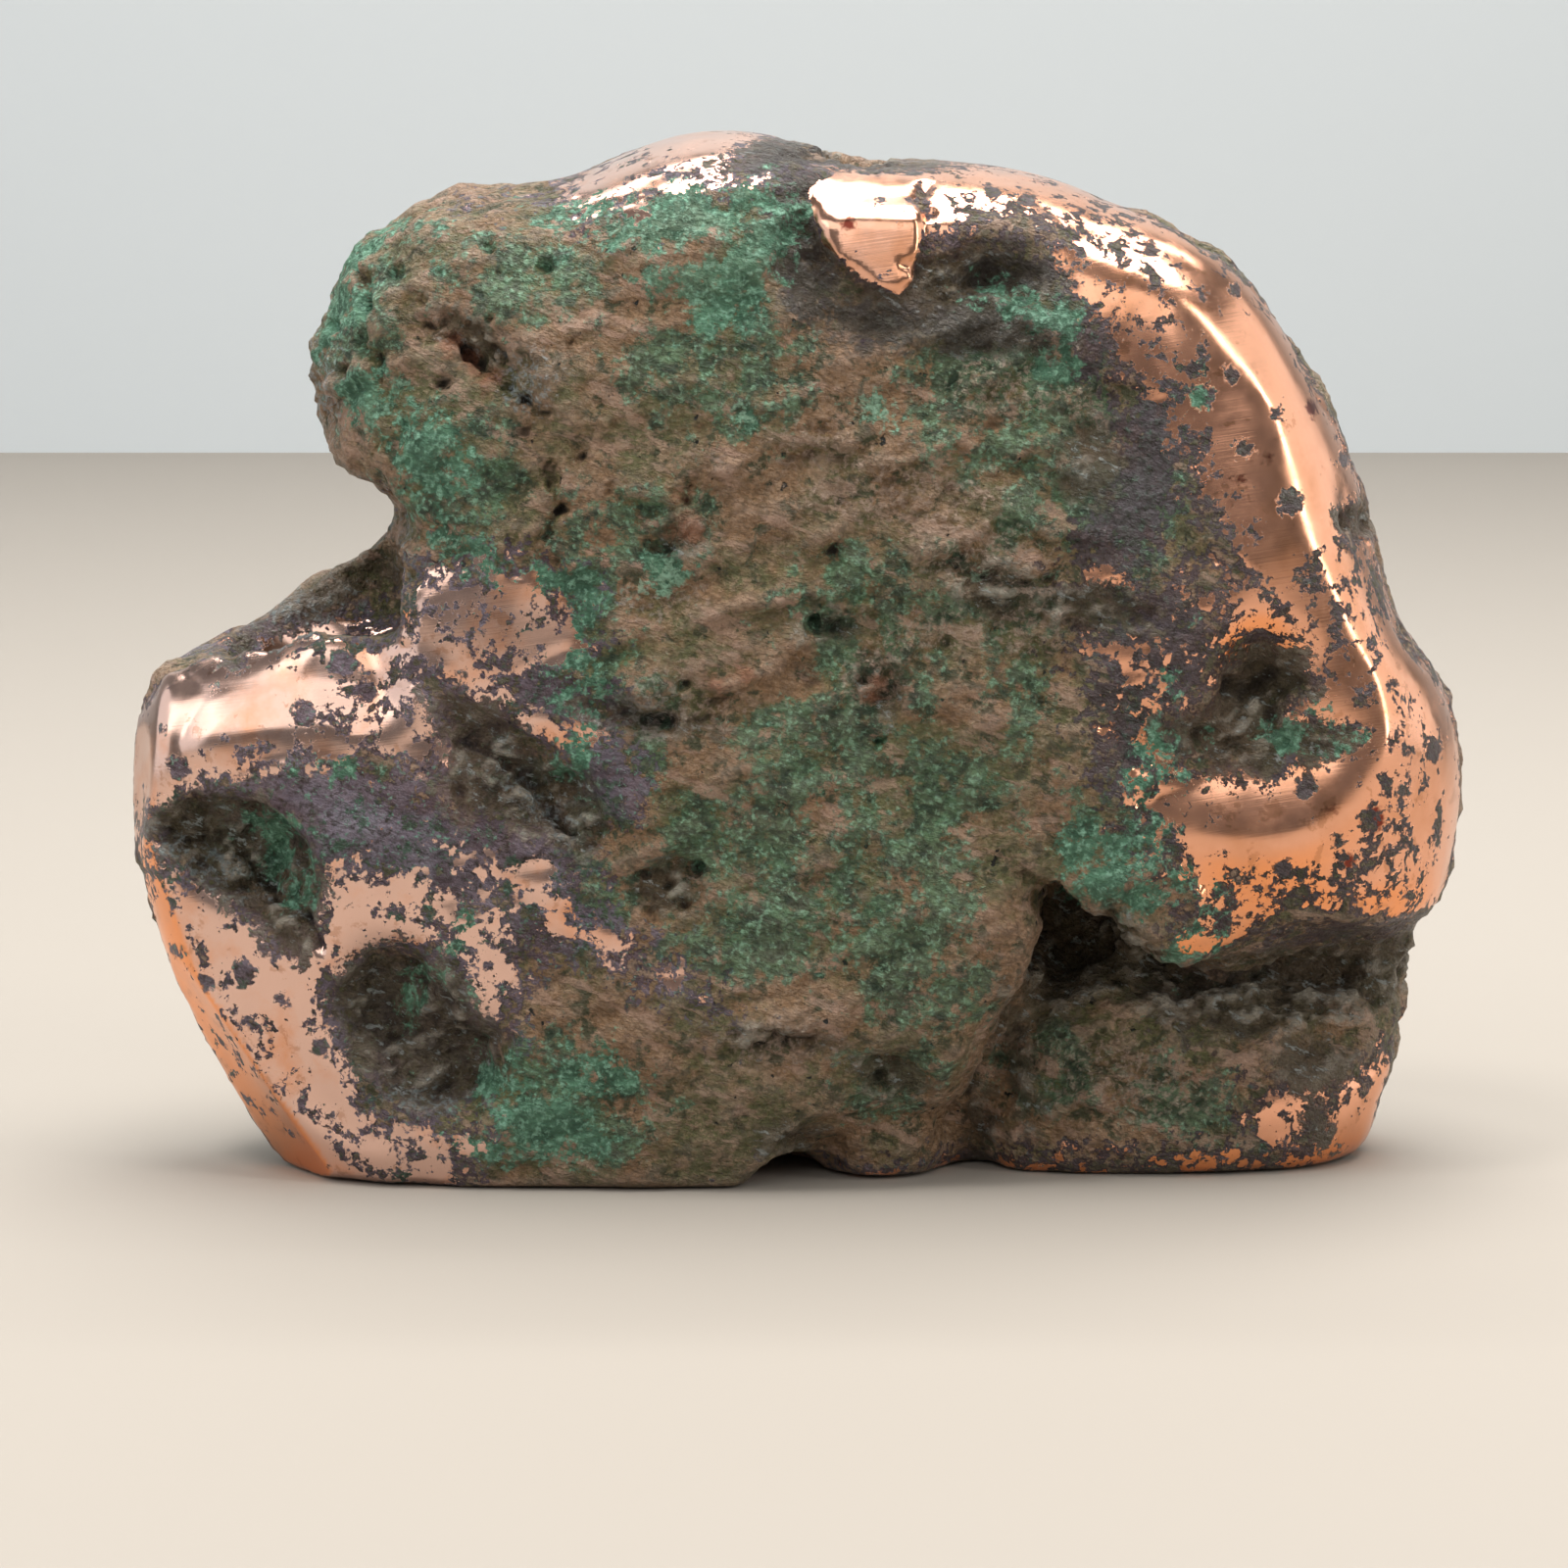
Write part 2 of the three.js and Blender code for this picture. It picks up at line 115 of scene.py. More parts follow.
# Stretches of the polish that are thick with specks of film: an oval, and how clear it still is.
SPECKLED = [
    (38, 57, 10, 12, 0, -1.2), (47, 61, 9, 5, 20, 0.8), (50, 28, 15, 8, -8, 0.1),
    (62.6, 31, 2.6, 8, 0, -0.7), (57, 60, 6, 9, 0, 1.0), (61, 24.6, 12, 3, 0, -0.6),
    (38, 84, 4, 12, 20, 0.6), (31, 103, 6, 4, -30, 0.4), (36, 98, 6, 4, -40, 0.8),
    (-45, 52, 7, 4, 0, 0.2), (-51, 47.6, 8, 2, 0, 0.6), (-27, 63, 4, 7, 0, 0.8),
    (-33, 65.5, 9, 4.5, 0, 0.9), (-32, 55, 4, 6, 0, 0.5), (-40, 32, 6, 7, 30, 0.6),
    (-61, 12, 8, 4, 50, 1.9), (-40, 3.6, 10, 3.4, 0, 1.2), (64, 69, 5, 5, 0, 0.7),
    (67, 40, 4, 12, 0, 1.2), (-3, 112, 3, 2, 0, 0.9), (62, 33, 6, 5, 0, 1.1), (52, 33, 6, 3, 0, 1.4),
    (22, 106, 5, 3, 0, 1.2), (-36, 24, 4, 8, 0, 0.9), (41, 46, 5, 5, 0, 1.0), (-47, 57, 5, 3, 0, 1.3),
]

# Bright malachite: across, up, half width, half height, tilt.
MALACHITE = [
    (-13, 106, 12, 3.6, 0), (-6, 101, 4, 5, 0), (-10, 97.5, 5, 3, 30), (-22, 106.5, 4.5, 2.6, 0),
    (-51, 99, 3.5, 6, 20), (-46, 106.5, 4.5, 1.6, 30), (-40, 81, 5, 4.6, 0), (-46, 87.5, 3, 2, 0),
    (-27, 67, 4.5, 2.6, 20), (-24.5, 57, 2.4, 7, 0), (-35, 70.5, 5, 1.6, 25), (31.5, 37.5, 4.6, 3.2, 30),
    (38, 34.5, 4, 3, 30), (43, 30, 2.6, 4, 0), (37, 46.5, 0.9, 5, 20), (39.5, 41.5, 0.9, 3.4, 35),
    (-30, 6.5, 6.5, 4, 0), (-22, 13.5, 3.6, 2.4, 0), (-33, 12, 3, 2, 30), (24.5, 96, 4.4, 1.6, 20),
    (28, 91.5, 1.8, 2.6, 0), (55.5, 50.6, 4, 1, -8), (-58.6, 40, 2.4, 1.6, 0), (-55.5, 35, 2.2, 2.2, 40),
    (-37.6, 26.6, 1.6, 2.6, 0), (7.6, 86, 1.4, 1, 0), (-6, 85, 1, 1, 0), (-14.5, 68, 2.2, 1.4, 0),
    (42.6, 87, 1, 1.2, 0), (-42, 22, 1, 2.4, 20), (-50, 47, 2, 0.8, 0),
]

# Darker green, let into the brown.
VERDIGRIS = [
    (5, 37, 13, 9, 20), (8.5, 56, 6, 9, 20), (5, 66, 7, 5, 0), (-6, 90, 7, 8, 0), (-14, 90, 6, 4, 0),
    (-38, 80, 7, 7, 0), (-48, 98, 4, 9, 10), (-30, 100, 8, 4, 0), (-24, 62, 6, 12, 0),
    (-20, 48, 5, 9, 20), (27, 77, 5, 6, 0), (26, 92, 5, 6, 0), (30, 85, 4, 10, 0), (34, 38, 8, 6, 30),
    (-26, 10, 10, 7, 0), (20, 67, 5, 4, 0), (13, 26, 8, 6, 30), (24, 60, 4, 7, 0), (-10, 40, 7, 6, 0),
    (-6, 30, 8, 5, 0), (-24, 33, 6, 5, 20), (10, 12, 5, 4, 0), (-16, 73, 5, 5, 0), (3, 50, 8, 5, 0),
    (28, 12, 5, 4, 0), (44, 9, 8, 4, 20), (38, 50, 3, 6, 0), (38, 80, 4, 14, 15), (-44, 38, 8, 5, 0),
    (-60, 38, 6, 3, 10), (21, 87, 9, 8, 0), (-30, 46, 4, 3, 40), (-31, 64, 3, 3, 0), (15, 45, 6, 5, 0),
]

# The purple-grey film of oxide.
OXIDE = [
    (-52, 42, 15, 7.5, 10), (-34, 38, 12, 7, 0), (-36, 48, 8, 6, 30), (-28, 55, 5, 6, 0),
    (-45, 31, 8, 4, 0), (36, 78, 5, 17, 18), (38, 60, 8, 9, 0), (33, 95, 5, 7, 20), (37, 50, 6, 8, 0),
    (-42, 17, 9, 9, 30), (46, 30, 6, 5, 0), (61, 27, 12, 3, 0), (-66, 44, 5, 4, 0), (-30, 29, 6, 3, 20),
    (20, 103, 10, 2, 0), (-34, 28, 5, 5, 0), (-21, 46, 4, 6, 0), (52, 62, 6, 4, 0),
]

# Dark rough ground besides the dents: the recess beside the tongue and the stretch under the cheek.
DARK = [
    (7, 114, 8, 1.4, 8), (0.2, 104, 2.4, 6.5, -8), (17, 99.5, 8.5, 3.4, -4), (-31, 47, 10, 3.2, 38),
    (58, 23.5, 13, 1.8, 4), (30, 24, 4.6, 8, 30), (24, 14, 2, 8, -14), (44, 21, 8, 1.6, 12),
    (-1, 6, 3, 2, 0), (31, 80, 3.4, 5, 0), (20, 5, 1.6, 5, 0), (-54, 64, 9, 2.4, -26),
    (15, 96, 14, 4, 10), (57, 12.6, 5, 3, 0), (58, 5.6, 1.4, 3.4, -20), (-3, 113.4, 5, 1.6, -10),
]

# Charcoal-grey, fairly smooth ground about the tongue.
CHARCOAL = [
    (-1.4, 105, 3, 8, -6), (1, 99, 4, 3, 20), (8, 94.6, 7, 2.6, 6), (-2, 111.6, 4, 2.4, -10),
    (20, 94.6, 9, 3, 4), (4, 113.6, 7, 1.4, 6), (22, 100, 5, 2, 0),
]

# Spots of film on the polished copper: across, up, radius.
FILM_SPOTS = [
    (46.5, 89.5, 0.7), (43.2, 87.2, 1.2), (53, 75.5, 1.5), (51.5, 85.4, 0.6), (48, 81.5, 1),
    (43.4, 81.6, 0.7), (55, 45, 1.2), (-62, 58, 1.2), (-68.4, 46.4, 1.3), (-61.6, 23.6, 1.4),
    (-66, 22.4, 0.8), (-53, 15.5, 1), (49.5, 25.6, 1.5), (46, 29, 1), (56, 92, 0.9), (60, 80, 0.8),
    (-64.4, 55, 0.6), (-70, 50.6, 0.5), (-50, 58, 1.4), (-47.6, 55.2, 1), (-54.4, 52.4, 1.4),
    (-59, 26.6, 0.7), (-57, 20.6, 0.7), (-69.6, 25, 0.8), (61, 50, 0.9), (66, 44, 0.8), (64.6, 55.6, 0.7),
    (70, 48, 1.2), (58.6, 39, 0.7), (52.6, 35.6, 0.8), (38, 103, 0.8), (47.4, 98.6, 0.7), (-17, 113, 0.6),
    (8.6, 108, 0.5), (24.6, 108.2, 0.7),
]

# Red cuprite, raw orange copper and pale mint crystals.
CUPRITE = [
    (62.5, 41, 1.3), (56, 85.6, 0.8), (51.4, 85.2, 0.4), (5, 105.6, 0.7), (53.4, 75.2, 0.5),
    (47.2, 78.4, 0.5), (60, 36.4, 0.6), (57.6, 42.4, 0.5), (50.4, 80.6, 0.4),
]
RAW_COPPER = [
    (-12.6, 73.4, 1.8), (-37.6, 92.6, 1), (-35.6, 91, 1.1), (-33.6, 89.6, 0.9), (8.4, 56.8, 0.9),
    (7.4, 55, 0.8), (-13.4, 76.2, 0.9), (-9, 56.6, 0.8), (-6, 57.6, 0.6),
]
MINT = [(7.6, 86, 0.7), (-6, 85.2, 0.6), (-14.6, 68, 1.2), (-17, 66.6, 0.5), (19, 68, 0.5), (9.4, 85, 0.3)]

# The small spots, by the name of their map.
SPOTS = {"film_spots": FILM_SPOTS, "cuprite": CUPRITE, "raw": RAW_COPPER, "mint": MINT}

# ---- Relief ----

VOXEL = 1.18  # the mesh's grain on the back; the front is twice as fine
FRONT_FACING = -0.16  # faces that point further to the front than this are made twice as fine
FOOT_EDGE = 0.3  # and those of the foot's flat, up to this height, aren't
FAR = 8.0  # the maps of the covers end this far inside and outside an edge
TINY = 1e-9  # keeps divisions by a segment's length from failing

# Rounds of smoothing: where the metal wasn't ground, where it was, once the front is fine, in the dents,
# in the gap under the cheek, and for the shape that the hollows are measured against.
ROUGH_ROUNDS = 7
SOFT_ROUNDS = 16
LAST_ROUNDS = 3
BOWL_ROUNDS = 60
FILLING_ROUNDS = 260
BROAD_ROUNDS = 24

RUN = -18  # the small steps and bumps run up to the right by this angle
FILM_RIM = 2.6  # the film of oxide reaches this far beyond the bare copper
FILM_SMOOTHNESS = 0.6
CRAG_HEIGHT = 0.7
CHIP_WIDTH = 1.9
CHIP_HEIGHT = 0.3
CREASE_DEPTH = 0.9
LEDGE_SCALE = 0.8
TONGUE_RISE = 1.1  # how far the tongue under the top edge stands out, which has run down over the face

# How coarse the metal is in places, from 0 to 1.
COARSENESS = {"head": 0.3, "under the cheek": 0.35, "edge": 0.3, "frost": 0.7, "dark ground": 0.6}

# Bumps: how high, how much higher in frost and on coarse metal, width, octaves and offset of the noise.
BUMPS = [
    (0.5, 0, 0, (10, 9, 7), 2, 0),
    (0.34, 0, 0, (4.4, 3.6, 3), 3, 5.5),
    (0.2, 0.3, 0, (6, 5, 1.7), 3, 12.7),
    (0.12, 0, 0.14, (1.8, 1.5, 1.3), 2, 9.2),
]

# Broken steps: how high, width, offset of the noise.
STEPS = {
    "coarse": (1.4, (6.4, 5.4, 3.6), 51.3),
    "in a dent": (1.2, (5.4, 5, 3.2), 71.3),
    "elsewhere": (0.65, (8, 6, 4.4), 61.3),
}

BEVEL_FACES = (-0.74, -0.53, -0.43)  # which way the lower left bevel faces

# Ground flats with crisp ridges between: a place, the way it faces, how far across and up it reaches.
FLATS = [
    ((-73.4, -11, 45), (-0.9, -0.43, 0.04), (7, 25)),
    ((-60, -18.4, 55.5), (-0.16, -0.91, 0.38), (16, 9)),
    ((-62, -20.2, 48), (-0.2, -0.975, 0.08), (17, 8)),
    ((-54, -21.4, 24), (-0.34, -0.93, -0.12), (20, 20)),
    ((-61.5, -16.4, 14), BEVEL_FACES, (17, 24)),
    ((7.5, -21.2, 102), (0.05, -0.98, 0.16), (9, 8)),
]

# The right half of the gap under the cheek, which smoothing as good as fills.
FILLED_GAP = [(40, 22), (46, 24.5), (56, 27), (66, 28), (80, 28), (80, 12), (66, 13), (54, 14), (44, 16)]

# Deep dents that the grinding never reached: their outline, and how far the ground in them drops once
# smoothing has made shallow bowls of the CAD hollows.
DEEP_DENTS = [
    ([(-73, 39), (-70, 41.6), (-66.5, 43.4), (-62.5, 43.6), (-59.5, 43), (-56.5, 41), (-54, 38.5),
      (-53, 34), (-53.5, 29.6), (-55.5, 26.4), (-57.5, 27), (-60.5, 30), (-64, 32.6), (-67, 34.6),
      (-70, 36.8)], 0.6),
    ([(-51, 22), (-49, 25), (-46.5, 26.5), (-44, 26.5), (-41, 24), (-38, 26), (-37, 23.5), (-36, 19.5),
      (-33.5, 17.5), (-32.5, 14), (-35, 11), (-39.5, 9), (-45, 10), (-48, 13.5), (-50.5, 17)], 0.5),
    ([(-40, 55.5), (-36.5, 55), (-32.5, 52), (-28, 48.5), (-22.5, 45.5), (-20.5, 41.5), (-22, 38),
      (-27, 39), (-31.5, 41), (-36.5, 42), (-39, 45), (-36, 47.5), (-37.5, 51)], 0.3),
    ([(46, 57), (50, 59.6), (54, 58.5), (55.5, 56), (52.5, 53.5), (52, 51.4), (57, 51), (60.5, 50.6),
      (59.5, 49.5), (56, 48), (53, 48), (50.5, 46), (45, 47), (40.5, 49.5), (39, 51.5), (43.5, 52.5),
      (45.5, 54.5)], 0.2),
    ([(36, 21), (44, 21.4), (52, 23), (62, 25.4), (72, 25.4), (72, 20), (62, 17), (50, 15.6),
      (40, 17)], 0.2),
    ([(33, 33), (37.4, 28.6), (43, 24), (50, 22), (50, 18), (42, 18), (35, 21), (31.5, 27)], 0),
    ([(10, 101.5), (15, 102), (19, 103.4), (23.5, 102), (28, 99), (26.5, 97), (19, 96), (14, 97.5)], 0.3),
    ([(-2, 109), (1.4, 110.4), (2.6, 106), (4.2, 101.4), (7.4, 98.4), (5.5, 97.4), (2, 98.4),
      (-2, 102.5)], 0.2),
]

# Smaller dents: across, up, half width, half height, tilt, how far the edge drops.
DENTS = [
    (-35.4, 93.2, 4.6, 1.5, 38, 0.9), (-13.4, 72, 3, 1.8, -20, 0.6), (-14.6, 34, 3.6, 3, 20, 0.1),
    (10, 12.6, 4, 2.2, 20, 0.8), (6.6, 113.6, 4.4, 1.6, 6, 1.2), (61.6, 73, 2.6, 1.6, 12, 0.8),
    (21, 66.6, 4.6, 3, 20, 0.7), (-18, 53, 6, 1.4, 10, 0.8), (8.4, 56, 2.2, 3.4, -30, 0.6),
    (-3, 17.6, 4.6, 1.5, 8, 0.7), (3.4, 62.6, 2.2, 1.1, 0, 0.8), (31.6, 64.4, 6, 2, 6, 0.6),
    (-63, 58.6, 1, 1, 0, 0.5),
]

# Ridges between ground facets, as lines of: across, up, how far they stand out, how broad they are, how
# round their crest is. The even ones keep the last three all along.
RIDGES = [
    [(33, 107.6, 0.6, 10, 3), (41, 102.5, 2.2, 14, 2.4), (47.5, 95.5, 2.3, 14, 2), (51, 88.4, 1.6, 12, 2),
     (52, 80, 0.6, 9, 3), (54.4, 72.5, 0.7, 8, 2.4), (59, 65.5, 0.9, 7, 1.4), (62.4, 57, 1, 7, 1),
     (63.4, 49.5, 1, 7, 1), (60.6, 43, 1, 7, 1.6), (55, 39.4, 1, 6, 2.4), (47, 38.4, 1, 6, 2.4),
     (41, 40, 0.5, 6, 2.4)],
    [(-71.5, 36.5, 0.5, 4, 0.4), (-69.5, 31, 0.5, 4, 0.4), (-67.2, 24, 0.5, 4, 0.4),
     (-64, 19, 0.5, 4, 0.4), (-60.5, 14, 0.5, 4, 0.4), (-57.5, 9.5, 0.5, 4, 0.4), (-53, 5, 0.5, 4, 0.4),
     (-46, 3, 0.4, 4, 1)],
]
EVEN_RIDGES = [
    ([(-70.5, 57), (-69.6, 51), (-70, 45.5), (-71.6, 38)], 0.9, 4.5, 0.7),
    ([(-72, 56), (-65.5, 59), (-56, 60.4), (-43.5, 56.5)], 0.6, 3.5, 1.2),
    ([(-69, 48.6), (-60, 50.4), (-50, 52), (-41, 55)], 0.5, 5, 1.2),
]

# Broad swells and hollows of the face: across, up, half width, half height, tilt, how high.
SWELLS = [
    (-6, 22, 24, 15, 10, 1.4), (4, 60, 13, 8, 0, -1.2), (19, 68, 13, 6, 10, 1.1),
    (-26, 92, 15, 10, 20, 0.8), (-13, 71.4, 5, 4, 0, 1.2), (-40, 80, 8, 8, 0, 0.9),
    (12, 90, 14, 8, -10, -1), (33, 86, 7, 13, 10, -1), (-5, 46, 12, 7, 20, 0.8),
    (16, 42, 12, 7, 30, -0.9), (-26, 60, 6, 12, 10, -0.8), (32, 47, 7, 6, 20, 0.9),
    (50, 55, 10, 9, 0, -1.3), (-30, 24, 8, 8, 0, -0.8), (22, 26, 8, 9, 0, 0.9), (-8, 103, 14, 5, 0, 0.7),
]

# Ledges: a line whose left side, seen along it, stands higher; by how much, and how far that reaches back.
LEDGES = [
    ([(43.5, 34), (40, 39.5), (37.6, 44), (37, 48), (32, 51.6), (26, 53)], 1.2, 7),
    ([(15, 70.6), (21.5, 73.6), (29, 72)], 1.2, 5),
    ([(-21, 56), (-13, 54.6), (-6, 56.6), (1.6, 61.6)], 1.0, 6),
    ([(4, 54), (8.6, 57.6), (11.6, 60)], 1.0, 4),
    ([(-18, 76.6), (-11, 76), (-8, 78.6)], 1.1, 4),
    ([(-9, 16.6), (-2, 19), (4, 18)], 0.9, 4),
    ([(-29, 38), (-22, 41.6), (-17, 41)], 0.9, 5),
    ([(-42, 70), (-32, 71.6), (-24, 69.6)], 0.9, 5),
    ([(10, 80), (18, 81.6), (27, 79)], 0.9, 5),
    ([(-10, 63), (-2, 65.6), (7, 64)], 0.9, 4),
    ([(28, 14), (38, 17), (50, 17.4), (60, 16)], 1.3, 6),
    ([(30, 7), (38, 9.6), (46, 8)], 0.9, 4),
    ([(-52, 86), (-47, 90), (-44, 96)], 0.8, 4),
    ([(14, 93.6), (22, 95), (28, 92)], 0.8, 4),
]

# Coarse, frosted patches, with glints painted on them: across, up, half width, half height, tilt.
FROST = [
    (20, 69.6, 8, 3.6, 8), (-14, 54, 6, 2.6, 0), (10, 76.6, 9, 2.6, 0), (-3, 17.6, 5, 2.4, 0),
    (36, 11, 9, 4, 10), (-42.6, 66, 1.6, 4.4, 0), (-45, 9.6, 7, 1.8, 6), (-52, 61, 9, 1.1, 3),
    (-29.5, 43.4, 4, 1.3, 38), (8, 57, 3, 3, 0), (-16, 66, 3, 1.6, 0), (-66, 35.6, 6, 1.2, 14),
    (30, 88, 6, 3, 20), (25, 62, 5, 2.6, 0), (-29, 89, 3, 3, 38), (-53, 88, 3, 5, 0), (2, 82, 5, 2, 0),
    (14, 62, 5, 2, -20), (-22, 51, 5, 1.6, 0), (20, 88, 4, 3, 0),
]

# Pits: across, up, radius, depth.
PITS = [
    (-47.4, 97, 1, 1.4), (-46.6, 91.6, 1.2, 1.6), (-40, 93.4, 0.8, 1), (-36, 92, 1, 1.2),
    (-29.6, 87, 0.8, 1.1), (-27, 85.6, 0.8, 1.1), (-34, 103.6, 0.9, 1.1), (-27.6, 101.6, 1, 1.2),
    (-23.6, 81, 0.8, 1.2), (-26, 75, 0.9, 1.2), (-12.4, 76, 1.2, 1.5), (3.6, 71, 0.7, 0.9),
    (1, 62.4, 1, 1.2), (-14.4, 34.4, 1, 1.2), (-12.6, 32.4, 0.7, 1), (-16.4, 31.6, 0.8, 1),
    (-17, 35.6, 0.7, 0.9), (-11.4, 36, 0.8, 1), (-3, 18.4, 0.8, 1), (-5, 16.8, 0.6, 0.8),
    (9, 12.6, 0.9, 1), (8.6, 50, 0.8, 1.3), (-12.6, 56.4, 0.7, 0.9), (-44.6, 100.6, 0.8, 1),
    (-41, 97.4, 0.7, 0.9), (-38.6, 88.4, 0.8, 1), (-52, 94.6, 0.9, 1.2), (-50, 89.4, 0.9, 1.2),
    (-33.6, 95.6, 0.6, 0.8), (-30, 83.6, 0.6, 0.8), (-20.6, 77.4, 0.6, 0.8), (-43, 84, 0.6, 0.8),
    (-37.6, 85.6, 0.6, 0.8), (-24.6, 93, 0.6, 0.8), (-31.6, 79.6, 0.6, 0.7), (11.6, 44.6, 0.6, 0.8),
]

# Creases, as lines of places.
CREASES = [
    [(-48.6, 100.6), (-47, 96.6), (-47.6, 92), (-45.6, 88.4)],
    [(-40.6, 95), (-37, 93), (-33.6, 90.4), (-31, 87.4), (-27.6, 85.4)],
    [(-27.4, 80), (-26.2, 75.6), (-27.6, 72)],
    [(-20, 53.6), (-14, 52), (-9, 52.8)],
    [(24, 35.5), (27.6, 33), (31, 30.6)],
    [(29, 31), (35, 28.6), (39, 24.6), (43, 21.6), (50, 21), (57, 24)],
    [(27.7, 34), (28.6, 31), (28, 26), (24.4, 21), (21.6, 16), (20.4, 12), (19, 8.5)],
    [(-37, 50), (-31, 47), (-26.6, 41.6), (-24.6, 39.6)],
    [(-70, 38.4), (-62, 36.4), (-55, 30.6), (-52.6, 27)],
    [(13.4, 109.6), (12.4, 108.2), (13.6, 107)],
    [(17, 69), (22, 67), (27, 67.6)],
]

# ---- Looks ----

# Cloud textures: width in millimetres, or three along the axes; detail, roughness, distortion, turn.
CLOUDS = {
    "edge": (2.8, 7, 0.68, 0.2),
    "speck": (1, 5, 0.66),
    "bloom": (5.5, 6, 0.66),
    "fine": (0.7, 4, 0.6),
    "broad": (13, 7, 0.66),
    "patch": (4.2, 9, 0.74),
    "pinholes": (1.7, 3, 0.5),
    "shelf": ((8, 5, 2.6), 6, 0.62, 0, RUN),
    "sparks": ((2, 1.6, 0.9), 6, 0.7, 0, -22),
    "spots": (2.2, 5, 0.66, 0.3),
    "tarnish": (9, 5, 0.6),
    "stain": (3.6, 6, 0.7),
    "polish": (2.6, 4, 0.5),
    "swell": ((2.6, 2, 1.5), 6, 0.62, 0, RUN),
    "polishing marks": ((14, 5, 0.22), 2, 0.5, 0, 8),
}

# The heights on the shelf texture between which it steps up.
STEP_EDGES = [(-0.02, 0.01), (0.12, 0.15), (-0.16, -0.13)]

# The finest relief: how high each texture stands in it, and how high all of it, on plain ground and on
# frosted or dark ground.
GRIT = {"fine": 0.5, "pebbles": -0.22, "steps": 0.3, "pinholes": -0.5}
DARK_SPARKS = 0.2
GRIT_SCALE = (2.9, 3.3)
POLISHING_MARKS = 0.008
COPPER_LEVEL = 0.4  # how high the polished copper lies between the grit's heights
BUMP = 0.4  # millimetres

# How metallic the film and the glints are, and how rough each kind of surface is.
FILM_SHEEN = 0.4
GLINT_SHEEN = 0.6
PATINA_ROUGHNESS = (0.36, 0.6)
DARK_ROUGHNESS = 0.32
MALACHITE_ROUGHNESS = 0.75
COPPER_ROUGHNESS = (0.14, 0.26)

# How far the clouds move the edge of each cover, and over how much it fades, in millimetres.
COVER_EDGES = {
    "bare": ({"edge": 12.0, "speck": 4.5, "fine": 1.2}, 0.15),
    "oxide": ({"edge": 12.0, "speck": 7.0, "fine": 2.0}, 0.6),
    "bright": ({"bloom": 7.0, "patch": 14.0, "fine": 3.0}, 0.8),
    "green": ({"bloom": 8.0, "patch": 18.0, "fine": 4.0}, 1.2),
    "dark": ({"edge": 6.0, "fine": 2.0}, 1.0),
    "frost": ({"edge": 8.0, "speck": 6.0}, 1.2),
    "charcoal": ({"edge": 6.0, "fine": 2.0}, 1.0),
    "mint": ({"speck": 4.5, "fine": 3.5}, 0.5),
    "raw": ({"edge": 3.0, "fine": 1.0}, 0.8),
    "film_spots": ({"edge": 2.0, "fine": 0.9}, 0.12),
    "cuprite": ({"speck": 1.2, "fine": 0.6}, 0.3),
}

# The covers in the order in which they are laid on the brown patina, and how much of it each one hides;
# the glints among them are painted highlights.
STRENGTHS = {
    "green": 0.82, "dark": 0.85, "charcoal": 0.85, "glints": 0.75, "film": 0.9, "bright": 1,
    "mint": 0.7, "raw": 0.6, "bare": 1,
}

